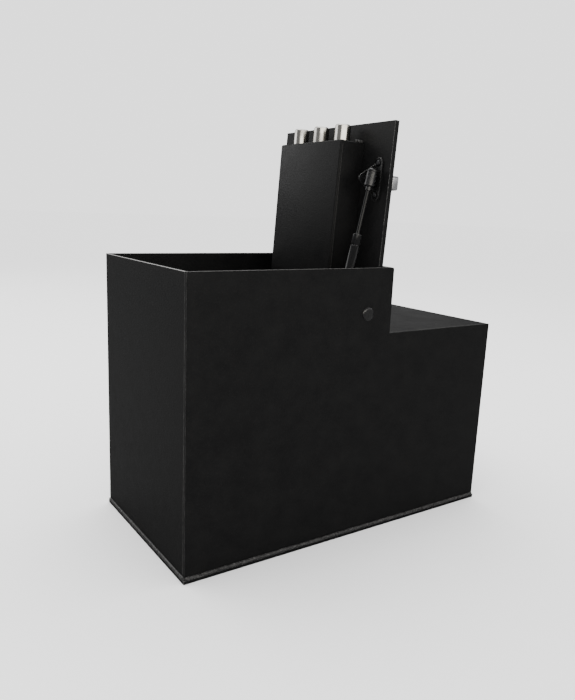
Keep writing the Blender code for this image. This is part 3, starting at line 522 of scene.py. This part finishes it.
# Edge materials whose lighter colour is partly rubbed wear and partly a painted highlight.
RUBBED_AND_HIGHLIGHT = {"powder_coat": "rubbed_coat_and_highlight", "black_enamel": "rubbed_enamel_and_highlight"}


def edge_of(node):
    """The material for a piece's rounded edges, or None where they keep the piece's own."""
    if node == "boltwork_cover":
        return MATERIALS["seam_coat"]
    if node == "strut_door_bracket":
        return MATERIALS["body_edge"]
    if BODY_OF[node] == "safe_body" and SLOT_OF[node] == "powder_coat":
        return MATERIALS["body_edge"]
    return MATERIALS.get(RUBBED_AND_HIGHLIGHT.get(SLOT_OF[node]))


def dress(node, edge):
    """Gives a CAD piece its finish and rounds its edges, which come as loose triangles."""
    obj = NODES[node]
    mesh = obj.data
    for name in [layer.name for layer in mesh.attributes if layer.name == "custom_normal"]:
        mesh.attributes.remove(mesh.attributes[name])
    mesh.shade_smooth()
    mesh.materials.clear()
    mesh.materials.append(MATERIALS[SLOT_OF[node]])
    weld = obj.modifiers.new("Weld", "WELD")
    weld.merge_threshold = 0.00001
    bevel = obj.modifiers.new("Edge", "BEVEL")
    bevel.width = edge
    bevel.segments = 2
    bevel.limit_method = "ANGLE"
    bevel.angle_limit = math.radians(35)
    bevel.harden_normals = True
    # The bevel faces take the edge material: partly rubbed wear, partly a painted highlight.
    rubbed = edge_of(node)
    if rubbed:
        mesh.materials.append(rubbed)
        bevel.material = 1
    return obj


def dress_all(nodes, edge):
    for node in nodes:
        dress(node, edge)


def piece(name, bm, body, slot, material=None, angle=35.0):
    """A new piece that rides on a body, with its place in its mesh."""
    bmesh.ops.remove_doubles(bm, verts=bm.verts, dist=0.00001)
    bmesh.ops.recalc_face_normals(bm, faces=bm.faces)
    mesh = bpy.data.meshes.new(name)
    bm.to_mesh(mesh)
    bm.free()
    mesh.shade_smooth()
    mesh.set_sharp_from_angle(angle=math.radians(angle))
    obj = bpy.data.objects.new(name, mesh)
    bpy.context.scene.collection.objects.link(obj)
    mesh.materials.append(material or MATERIALS[slot])
    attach(obj, body)
    return obj


def middle(node):
    low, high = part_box(node)
    return (low + high) / 2


def frame_matrix(origin, x_axis, y_axis, z_axis):
    turn = Matrix((x_axis, y_axis, z_axis)).transposed().to_4x4()
    return Matrix.Translation(origin) @ turn


def door_matrix(origin):
    """Local X down the door towards its hinge, Y across, Z out of its outer face."""
    return frame_matrix(origin, -DOOR_UP, ACROSS, DOOR_OUT)


def bevel_sharp(bm, width, segments=2, angle=30.0):
    """Rounds every edge sharper than the angle."""
    limit = math.radians(angle)
    sharp = [edge for edge in bm.edges if len(edge.link_faces) == 2 and edge.calc_face_angle(0.0) > limit]
    bmesh.ops.bevel(
        bm,
        geom=sharp,
        offset=width,
        offset_type="OFFSET",
        segments=segments,
        profile=0.5,
        affect="EDGES",
        material=-1,
    )


def join(bm, part):
    """Adds a finished bmesh to another one, and frees it."""
    made = bpy.data.meshes.new("part")
    part.to_mesh(made)
    part.free()
    bm.from_mesh(made)
    bpy.data.meshes.remove(made)


def run_of_bead(bm, points, radius, pitch, seed, lump=0.20):
    """A rippled weld bead along a line of points, closed at both ends."""
    chance = random.Random(seed)
    total = sum((b - a).length for a, b in zip(points, points[1:]))
    run = bmesh.new()
    bmesh.ops.create_cone(run, cap_ends=True, segments=10, radius1=radius, radius2=radius, depth=1.0)
    sides = [edge for edge in run.edges if abs(edge.verts[0].co.z - edge.verts[1].co.z) > 0.5]
    bmesh.ops.subdivide_edges(run, edges=sides, cuts=max(int(total / pitch * RINGS_PER_RIPPLE), 12))
    ripples = int(total / pitch) + 3
    phases = [chance.uniform(-RIPPLE_DRIFT, RIPPLE_DRIFT) * pitch for _ in range(ripples)]
    swells = [1.0 + chance.uniform(-lump, lump) for _ in range(ripples)]
    for vert in run.verts:
        along = (vert.co.z + 0.5) * total
        number = int(along / pitch)
        share = along / pitch - number
        swell = swells[number] + (swells[number + 1] - swells[number]) * share
        swell *= 1.0 - RIPPLE_DEPTH * (2.0 * share - 1.0) ** 2
        end_gap = min(along, total - along) + radius * END_ROUND
        swell *= min(1.0, end_gap / radius)
        place, direction, side = point_on(points, along + phases[number])
        vert.co = place + (side * vert.co.x + direction.cross(side) * vert.co.y) * swell
    join(bm, run)


def point_on(points, along):
    """Place, direction and a level side vector at a distance along the line."""
    left = max(along, 0.0)
    for start, end in zip(points, points[1:]):
        size = (end - start).length
        if left <= size or end is points[-1]:
            direction = (end - start).normalized()
            side = direction.cross(UP)
            if side.length < 0.1:
                side = direction.cross(ACROSS)
            return start + direction * min(left, size), direction, side.normalized()
        left -= size
    return points[-1], UP, ACROSS


# Operators


class SAFE_OT_materials(bpy.types.Operator):
    """Make the safe's finishes"""

    bl_idname = "safe.materials"
    bl_label = "Finishes"

    def execute(self, context):
        build_materials()
        return {"FINISHED"}


class SAFE_OT_body(bpy.types.Operator):
    """Coat the welded body, its ledges and its strike bar"""

    bl_idname = "safe.body"
    bl_label = "Body"

    def execute(self, context):
        plates = [node for node in BODY_OF if BODY_OF[node] == "safe_body" and SLOT_OF[node] == "powder_coat"]
        dress_all(plates, sizes().edge_radius)
        return {"FINISHED"}


class SAFE_OT_base_weld(bpy.types.Operator):
    """Lay the rippled fillet weld round the foot of the walls"""

    bl_idname = "safe.base_weld"
    bl_label = "Base weld"

    def execute(self, context):
        size = sizes()
        low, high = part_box("base_weld_bead")
        inset = size.bead_radius * BEAD_INSET
        height = low.z + size.bead_radius * BEAD_LIFT
        corners = [
            Vector((low.x + inset, low.y + inset, height)),
            Vector((high.x - inset, low.y + inset, height)),
            Vector((high.x - inset, high.y - inset, height)),
            Vector((low.x + inset, high.y - inset, height)),
        ]
        bm = bmesh.new()
        for number, start in enumerate(corners):
            end = corners[(number + 1) % len(corners)]
            run_of_bead(bm, [start, end], size.bead_radius, size.bead_pitch, 11 + number)
        bead = piece("base_fillet_weld", bm, "safe_body", "weld_bead", angle=60.0)
        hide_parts("base_weld_bead")
        return {"FINISHED"}


class SAFE_OT_corner_seams(bpy.types.Operator):
    """Lay the ground seams on the body's outside corners"""

    bl_idname = "safe.corner_seams"
    bl_label = "Corner seams"

    def execute(self, context):
        radius = sizes().seam_radius
        low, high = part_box("near_side_wall")
        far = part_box("far_side_wall")[1].y
        left, right = low.x, high.x
        foot = low.z + SEAM_FOOT
        rim = high.z - SEAM_END
        sink = radius * SEAM_SUNK_SHARE
        bm = bmesh.new()
        for number, y in enumerate((low.y + sink, far - sink)):
            near_left = Vector((left + sink, y, foot))
            upper_left = Vector((left + sink, y, rim))
            run_of_bead(bm, [near_left, upper_left], radius, SEAM_PITCH, 31 + number, SEAM_LUMP)
            near_right = Vector((right - sink, y, foot))
            top = Vector((right - sink, y, SHOULDER_TOP - SEAM_STOP))
            run_of_bead(bm, [near_right, top], radius, SEAM_PITCH, 41 + number, SEAM_LUMP)
            inner = Vector((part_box("neck_wall")[1].x + radius, y, SHOULDER_TOP - sink))
            outer = Vector((right - SEAM_STOP, y, SHOULDER_TOP - sink))
            run_of_bead(bm, [inner, outer], radius, SEAM_PITCH, 51 + number, SEAM_LUMP)
        piece("corner_seams", bm, "safe_body", "powder_coat", angle=60.0)
        return {"FINISHED"}


class SAFE_OT_pin_welds(bpy.types.Operator):
    """Shape the ground weld buttons over the hinge pin's ends"""

    bl_idname = "safe.pin_welds"
    bl_label = "Pin welds"

    def execute(self, context):
        rise = sizes().button_rise
        for node, side in (("near_pin_weld", -1.0), ("far_pin_weld", 1.0)):
            low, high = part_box(node)
            chance = random.Random(BUTTON_SEEDS[node])
            radius = (high.x - low.x) / 2
            base = high.y if side < 0 else low.y
            bm = bmesh.new()
            bmesh.ops.create_uvsphere(bm, u_segments=48, v_segments=24, radius=1.0)
            waves = [
                (chance.uniform(0.0, 6.28), chance.uniform(*BUTTON_WAVES), turns) for turns in BUTTON_TURNS
            ]
            for vert in bm.verts:
                angle = math.atan2(vert.co.y, vert.co.x)
                swell = 1.0 + sum(depth * math.sin(turns * angle + phase) for phase, depth, turns in waves)
                flat_top = math.copysign(min(abs(vert.co.z) * BUTTON_FLATNESS, 1.0), vert.co.z)
                vert.co = Vector((vert.co.x * swell * radius, vert.co.y * swell * radius, flat_top * rise))
            turn = Matrix.Rotation(math.radians(90), 4, "X")
            place = Vector(((low.x + high.x) / 2, base, (low.z + high.z) / 2))
            bmesh.ops.transform(bm, matrix=Matrix.Translation(place) @ turn, verts=bm.verts)
            half = bmesh.ops.bisect_plane(
                bm,
                geom=bm.verts[:] + bm.edges[:] + bm.faces[:],
                plane_co=place,
                plane_no=(0.0, -side, 0.0),
                clear_outer=True,
            )
            rim = [item for item in half["geom_cut"] if isinstance(item, bmesh.types.BMEdge)]
            bmesh.ops.holes_fill(bm, edges=rim)
            ground = MATERIALS["weld_button"]
            button = piece(f"{node}_button", bm, "safe_body", "weld_bead", ground, angle=50.0)
            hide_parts(node)
        return {"FINISHED"}


class SAFE_OT_door(bpy.types.Operator):
    """Coat the door plate, its lugs and the boltwork cover"""

    bl_idname = "safe.door"
    bl_label = "Door"

    def execute(self, context):
        dress_all(["door_plate", "near_hinge_lug", "far_hinge_lug"], sizes().edge_radius)
        dress("boltwork_cover", sizes().small_edge)
        dress_all(["bolt_guide", "lock_cover", "lock_case"], sizes().small_edge)
        return {"FINISHED"}


class SAFE_OT_cover_seams(bpy.types.Operator):
    """Lay the ground seams along the cover's long folded corners"""

    bl_idname = "safe.cover_seams"
    bl_label = "Cover seams"

    def execute(self, context):
        radius = sizes().seam_radius
        low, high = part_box("boltwork_cover")
        mesh = NODES["boltwork_cover"].data
        inward = min(vert.co.dot(DOOR_OUT) for vert in mesh.vertices)
        foot = min(vert.co.dot(DOOR_UP) for vert in mesh.vertices) + SEAM_END
        head = max(vert.co.dot(DOOR_UP) for vert in mesh.vertices) - SEAM_END
        bm = bmesh.new()
        for number, (y, side) in enumerate(((low.y, 1.0), (high.y, -1.0))):
            corner = DOOR_OUT * (inward + SEAM_INSET) + ACROSS * (y + side * SEAM_SINK)
            line = [corner + DOOR_UP * foot, corner + DOOR_UP * head]
            run_of_bead(bm, line, radius, COVER_SEAM_PITCH, 61 + number, SEAM_LUMP)
        piece("cover_seams", bm, "door", "powder_coat", MATERIALS["seam_coat"], angle=60.0)
        return {"FINISHED"}


class SAFE_OT_cover_welds(bpy.types.Operator):
    """Lay the short welds that tack the cover to the door plate"""

    bl_idname = "safe.cover_welds"
    bl_label = "Cover welds"

    def execute(self, context):
        size = sizes()
        for node in ("cover_weld_near", "cover_weld_far"):
            low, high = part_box(node)
            centre = (low + high) / 2
            reach = (high.x - low.x) / 2
            line = [centre - DOOR_OUT * reach * RUN_INWARD, centre + DOOR_OUT * reach * RUN_OUTWARD]
            bm = bmesh.new()
            run_of_bead(bm, line, size.bead_radius, size.bead_pitch * RUN_PITCH_SHARE, 71)
            bead = piece(f"{node}_run", bm, "door", "weld_bead", angle=60.0)
            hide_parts(node)
        return {"FINISHED"}


class SAFE_OT_hinge(bpy.types.Operator):
    """Finish the hinge pin and its spacers"""

    bl_idname = "safe.hinge"
    bl_label = "Hinge"

    def execute(self, context):
        dress_all(["hinge_pin", "near_hinge_spacer", "far_hinge_spacer"], sizes().small_edge)
        return {"FINISHED"}


class SAFE_OT_boltwork(bpy.types.Operator):
    """Finish the locking bolts, their bar and the drive plate"""

    bl_idname = "safe.boltwork"
    bl_label = "Boltwork"

    def execute(self, context):
        dress_all([node for node in BODY_OF if BODY_OF[node] == "boltwork"], sizes().small_edge)
        return {"FINISHED"}


class SAFE_OT_handle(bpy.types.Operator):
    """Finish the lever handle and its drive"""

    bl_idname = "safe.handle"
    bl_label = "Handle"

    def execute(self, context):
        handle = [node for node in BODY_OF if BODY_OF[node] == "handle"]
        dress_all([*handle, "handle_escutcheon"], sizes().small_edge)
        return {"FINISHED"}


class SAFE_OT_dial(bpy.types.Operator):
    """Finish the combination dial, its ring and the lock bolt"""

    bl_idname = "safe.dial"
    bl_label = "Dial"

    def execute(self, context):
        dress_all([node for node in BODY_OF if BODY_OF[node] == "dial"], sizes().small_edge)
        dress_all(["dial_ring", "lock_bolt"], sizes().small_edge)
        return {"FINISHED"}


def band(bm, matrix, radius, height, thickness, lip):
    """A short sleeve with rounded lips, round the matrix's Z."""
    ring = bmesh.new()
    outside = radius + thickness
    half = height / 2
    outline = [(radius, -half), (outside, -half), (outside, half), (radius, half)]
    verts = [ring.verts.new((across, 0.0, up)) for across, up in outline]
    edges = [ring.edges.new((verts[number], verts[(number + 1) % 4])) for number in range(4)]
    bmesh.ops.spin(
        ring, geom=verts + edges, cent=(0, 0, 0), axis=(0, 0, 1), angle=math.tau, steps=48, use_merge=True
    )
    bevel_sharp(ring, lip)
    bmesh.ops.transform(ring, matrix=matrix, verts=ring.verts)
    join(bm, ring)


def strut_matrix(origin):
    """Local Z up the strut, Y across."""
    side = ACROSS.cross(STRUT_UP).normalized()
    return frame_matrix(origin, side, ACROSS, STRUT_UP)


class SAFE_OT_socket_clips(bpy.types.Operator):
    """Fit the spring clips round the strut's ball sockets"""

    bl_idname = "safe.socket_clips"
    bl_label = "Socket clips"

    def execute(self, context):
        for node in ("strut_lower_socket", "strut_upper_socket"):
            heights = [vert.co.dot(STRUT_UP) for vert in NODES[node].data.vertices]
            reach = max(heights) if node == "strut_upper_socket" else min(heights)
            inward = -1.0 if node == "strut_upper_socket" else 1.0
            centre = middle(node)
            axis_point = centre + STRUT_UP * (reach + inward * CLIP_SETBACK - centre.dot(STRUT_UP))
            axis_point.y = centre.y
            bm = bmesh.new()
            band(bm, strut_matrix(axis_point), CLIP_RADIUS, CLIP_HEIGHT, CLIP_SHEET, CLIP_LIP)
            piece(f"{node}_clip", bm, BODY_OF[node], "zinc_steel", MATERIALS["black_oxide"])
        return {"FINISHED"}


class SAFE_OT_strut(bpy.types.Operator):
    """Finish the gas strut, its ball sockets and its brackets"""

    bl_idname = "safe.strut"
    bl_label = "Gas strut"

    def execute(self, context):
        strut = [node for node in BODY_OF if BODY_OF[node] in ("strut_cylinder", "strut_piston_rod")]
        fixings = ["strut_lower_stud", "strut_door_bracket", "bracket_screw_outer", "bracket_screw_inner"]
        dress_all(strut + fixings, sizes().small_edge)
        for node in ("bracket_screw_outer", "bracket_screw_inner"):
            NODES[node].data.materials[0] = MATERIALS["black_oxide"]
        return {"FINISHED"}


def dial_place(radius, turn, lift, tilt=0.0):
    """A place on the dial or its ring: local Y points away from the axis, and 0 is at the free edge."""
    pivot = Vector(JOINTS["dial_spin"]["pos_m"])
    base = door_matrix(pivot)
    rise = lift - pivot.dot(DOOR_OUT)
    swing = Matrix.Rotation(math.pi / 2 - turn, 4, "Z")
    return base @ swing @ Matrix.Translation((0.0, radius, rise)) @ Matrix.Rotation(-tilt, 4, "X")


def height_on_door(node):
    return max(vert.co.dot(DOOR_OUT) for vert in NODES[node].data.vertices)


def radius_on_door(node):
    pivot = Vector(JOINTS["dial_spin"]["pos_m"])
    return max(abs(vert.co.y - pivot.y) for vert in NODES[node].data.vertices)


def skirt_place(inset, turn):
    """A place on the dial's sloping skirt, at a distance in from its rim."""
    rim = height_on_door("dial_ring") - SKIRT_DROP
    slope = SKIRT_RISE / SKIRT_WIDTH
    return dial_place(radius_on_door("dial_knob") - inset, turn, rim + slope * inset, math.atan(slope))


class SAFE_OT_dial_marks(bpy.types.Operator):
    """Mark the dial with a hundred strokes and its tens, and the ring with its index"""

    bl_idname = "safe.dial_marks"
    bl_label = "Dial marks"

    def execute(self, context):
        self.add_strokes()
        self.add_numbers()
        self.add_index()
        return {"FINISHED"}

    def stroke(self, bm, matrix, width, height):
        mark = bmesh.new()
        bmesh.ops.create_cube(mark, size=1.0)
        bmesh.ops.scale(mark, vec=(width, height, MARK_DEPTH), verts=mark.verts)
        bmesh.ops.transform(mark, matrix=matrix, verts=mark.verts)
        join(bm, mark)

    def add_strokes(self):
        long_mark = sizes().tick_length
        bm = bmesh.new()
        for number in range(DIAL_STROKES):
            tall = long_mark if number % 10 == 0 else long_mark * (0.75 if number % 5 == 0 else 0.5)
            turn = math.tau * number / DIAL_STROKES
            self.stroke(bm, skirt_place(tall / 2 + MARK_MARGIN, turn), STROKE_WIDTH, tall)
        piece("dial_strokes", bm, "dial", "satin_chrome", MATERIALS["marks"])

    def add_numbers(self):
        size = sizes()
        inset = size.tick_length + 2 * MARK_MARGIN + size.digit_height / 2
        bm = bmesh.new()
        for ten in range(0, DIAL_STROKES, 10):
            curve = bpy.data.curves.new("digits", "FONT")
            curve.body = str(ten)
            curve.size = size.digit_height * FONT_SIZE_PER_HEIGHT
            curve.extrude = MARK_DEPTH / 2
            curve.align_x = "CENTER"
            curve.align_y = "CENTER"
            text = bpy.data.objects.new("digits", curve)
            mesh = bpy.data.meshes.new_from_object(text)
            mesh.transform(skirt_place(inset, math.tau * ten / DIAL_STROKES))
            bm.from_mesh(mesh)
            bpy.data.objects.remove(text)
            bpy.data.meshes.remove(mesh)
        piece("dial_numbers", bm, "dial", "satin_chrome", MATERIALS["marks"])

    def add_index(self):
        middle_radius = (radius_on_door("dial_ring") + radius_on_door("dial_knob")) / 2
        bm = bmesh.new()
        place = dial_place(middle_radius - INDEX_LENGTH / 4, 0.0, height_on_door("dial_ring"))
        self.stroke(bm, place, INDEX_WIDTH, INDEX_LENGTH)
        piece("dial_index", bm, "door", "satin_chrome", MATERIALS["black_enamel"])


class SAFE_OT_dial_grip(bpy.types.Operator):
    """Cut the flutes of the dial's grip"""

    bl_idname = "safe.dial_grip"
    bl_label = "Dial grip"

    def execute(self, context):
        top = height_on_door("dial_knob")
        foot = height_on_door("dial_ring") + GRIP_FOOT
        height = top - GRIP_SHOULDER - foot
        bm = bmesh.new()
        bmesh.ops.create_circle(bm, cap_ends=True, segments=GRIP_FLUTES * 8, radius=GRIP_RADIUS)
        for vert in bm.verts:
            angle = math.atan2(vert.co.y, vert.co.x)
            groove = max(0.0, math.cos(GRIP_FLUTES * angle)) ** 2
            vert.co *= 1.0 - FLUTE_DEPTH / GRIP_RADIUS * groove
        upper = bmesh.ops.extrude_face_region(bm, geom=bm.faces[:])["geom"]
        raised = [item for item in upper if isinstance(item, bmesh.types.BMVert)]
        bmesh.ops.translate(bm, vec=(0.0, 0.0, height), verts=raised)
        rims = [edge for edge in bm.edges if abs(edge.verts[0].co.z - edge.verts[1].co.z) < height / 2]
        bmesh.ops.bevel(
            bm,
            geom=rims,
            offset=GRIP_EDGE,
            offset_type="OFFSET",
            segments=2,
            profile=0.5,
            affect="EDGES",
            material=-1,
        )
        bmesh.ops.transform(bm, matrix=dial_place(0.0, 0.0, foot), verts=bm.verts)
        piece("dial_grip", bm, "dial", "black_enamel", angle=40.0)
        return {"FINISHED"}


CAMERA_PLACE = Vector((-0.6710, -0.9274, 0.5287))
CAMERA_RIGHT = Vector((0.8289, -0.5580, 0.0403))
CAMERA_UP = Vector((0.0842, 0.1957, 0.9771))
FLOOR_HALF = 30.0
WARM = (1.0, 0.96, 0.88)
GLOSSY_SHARE = 0.12
FLOOR_IN_GLOSS = 0.14


def area_light(name, place, target, width, height, power, tint=(1.0, 1.0, 1.0)):
    data = bpy.data.lights.new(name, "AREA")
    data.shape = "RECTANGLE"
    data.size = width
    data.size_y = height
    data.energy = power
    data.color = tint
    light = bpy.data.objects.new(name, data)
    bpy.context.scene.collection.objects.link(light)
    light.location = place
    light.rotation_euler = (Vector(target) - Vector(place)).to_track_quat("-Z", "Y").to_euler()
    return light


class SAFE_OT_stage(bpy.types.Operator):
    """Set up the floor, the soft light and the camera"""

    bl_idname = "safe.stage"
    bl_label = "Studio"

    def execute(self, context):
        studio = context.scene.safe_studio
        self.lay_floor(studio)
        self.hang_lights(studio)
        self.aim_camera(context, studio)
        return {"FINISHED"}

    def lay_floor(self, studio):
        bm = bmesh.new()
        bmesh.ops.create_grid(bm, x_segments=1, y_segments=1, size=FLOOR_HALF)
        mesh = bpy.data.meshes.new("studio_floor")
        bm.to_mesh(mesh)
        bm.free()
        floor = bpy.data.objects.new("studio_floor", mesh)
        bpy.context.scene.collection.objects.link(floor)
        material, tree, shader = blank_material("Studio floor")
        path = tree.nodes.new("ShaderNodeLightPath")
        shade = tuple(channel * FLOOR_IN_GLOSS for channel in studio.floor)
        paint = tinted(tree, path.outputs["Is Glossy Ray"], studio.floor, shade)
        wire(tree, (paint, shader.inputs["Base Color"]))
        shader.inputs["Roughness"].default_value = 0.9
        shader.inputs["Specular IOR Level"].default_value = 0.0
        mesh.materials.append(material)

    def hang_lights(self, studio):
        world = bpy.data.worlds.new("Studio")
        bpy.context.scene.world = world
        world.use_nodes = True
        tree = world.node_tree
        sky = tree.nodes["Background"]
        path = tree.nodes.new("ShaderNodeLightPath")
        strength = range_node(tree, 0.0, 1.0, studio.sky, studio.sky * GLOSSY_SHARE)
        wire(
            tree,
            (path.outputs["Is Glossy Ray"], strength.inputs["Value"]),
            (strength.outputs["Result"], sky.inputs["Strength"]),
        )
        sky.inputs["Color"].default_value = (1.0, 1.0, 1.0, 1.0)
        area_light("overhead", (0.0, 0.5, 2.6), (0.0, 0.0, 0.2), 3.0, 2.0, studio.key)
        area_light("left_rear", (-1.8, 3.0, 1.75), (-0.3, 0.0, 0.45), 3.6, 1.4, studio.side)
        front = area_light("front", (-0.72, -2.28, 1.0), (0.0, 0.0, 0.62), 3.8, 0.7, studio.front, WARM)
        right_front = area_light("right_front", (1.9, -1.6, 1.15), (0.0, 0.0, 0.62), 2.2, 0.5, studio.right)
        for card in (front, right_front):
            card.visible_diffuse = False  # the cards only show as reflections
        area_light("rear_high", (0.4, 2.6, 2.6), (0.0, 0.0, 0.5), 1.8, 0.5, studio.top)
        area_light("right_rear", (2.2, 2.6, 1.0), (0.2, 0.0, 0.34), 1.6, 1.0, studio.rear)

    def aim_camera(self, context, studio):
        data = bpy.data.cameras.new("studio_camera")
        data.lens = studio.lens
        data.sensor_width = 36.0
        camera = bpy.data.objects.new("studio_camera", data)
        context.scene.collection.objects.link(camera)
        right = CAMERA_RIGHT.normalized()
        back = right.cross(CAMERA_UP).normalized()
        up = back.cross(right)
        camera.matrix_world = frame_matrix(CAMERA_PLACE, right, up, back)
        context.scene.camera = camera


class SAFE_PT_panel(bpy.types.Panel):
    """Sidebar panel with the safe's sizes, finishes and makers"""

    bl_label = "In-floor safe"
    bl_idname = "SAFE_PT_panel"
    bl_space_type = "VIEW_3D"
    bl_region_type = "UI"
    bl_category = "Safe"

    def draw(self, context):
        layout = self.layout
        for group in (context.scene.safe_sizes, context.scene.safe_finishes, context.scene.safe_studio):
            box = layout.box()
            for name in group.__annotations__:
                box.prop(group, name)
        for operator in MAKERS:
            layout.operator(operator.bl_idname)


MAKERS = (
    SAFE_OT_materials,
    SAFE_OT_body,
    SAFE_OT_base_weld,
    SAFE_OT_corner_seams,
    SAFE_OT_pin_welds,
    SAFE_OT_door,
    SAFE_OT_cover_seams,
    SAFE_OT_cover_welds,
    SAFE_OT_hinge,
    SAFE_OT_boltwork,
    SAFE_OT_handle,
    SAFE_OT_dial,
    SAFE_OT_strut,
    SAFE_OT_socket_clips,
    SAFE_OT_dial_marks,
    SAFE_OT_dial_grip,
    SAFE_OT_stage,
)
SETTINGS = {"safe_sizes": SafeSizes, "safe_finishes": SafeFinishes, "safe_studio": SafeStudio}
CLASSES = (*SETTINGS.values(), *MAKERS, SAFE_PT_panel)


def register():
    for cls in CLASSES:
        bpy.utils.register_class(cls)
    for name, group in SETTINGS.items():
        setattr(bpy.types.Scene, name, bpy.props.PointerProperty(type=group))


def unregister():
    for name in SETTINGS:
        delattr(bpy.types.Scene, name)
    for cls in reversed(CLASSES):
        bpy.utils.unregister_class(cls)


def write_sizes():
    bpy.context.view_layer.update()


def main():
    register()
    for operator in MAKERS:
        category, name = operator.bl_idname.split(".")
        getattr(getattr(bpy.ops, category), name)()
    write_sizes()


if __name__ == "__main__":
    main()
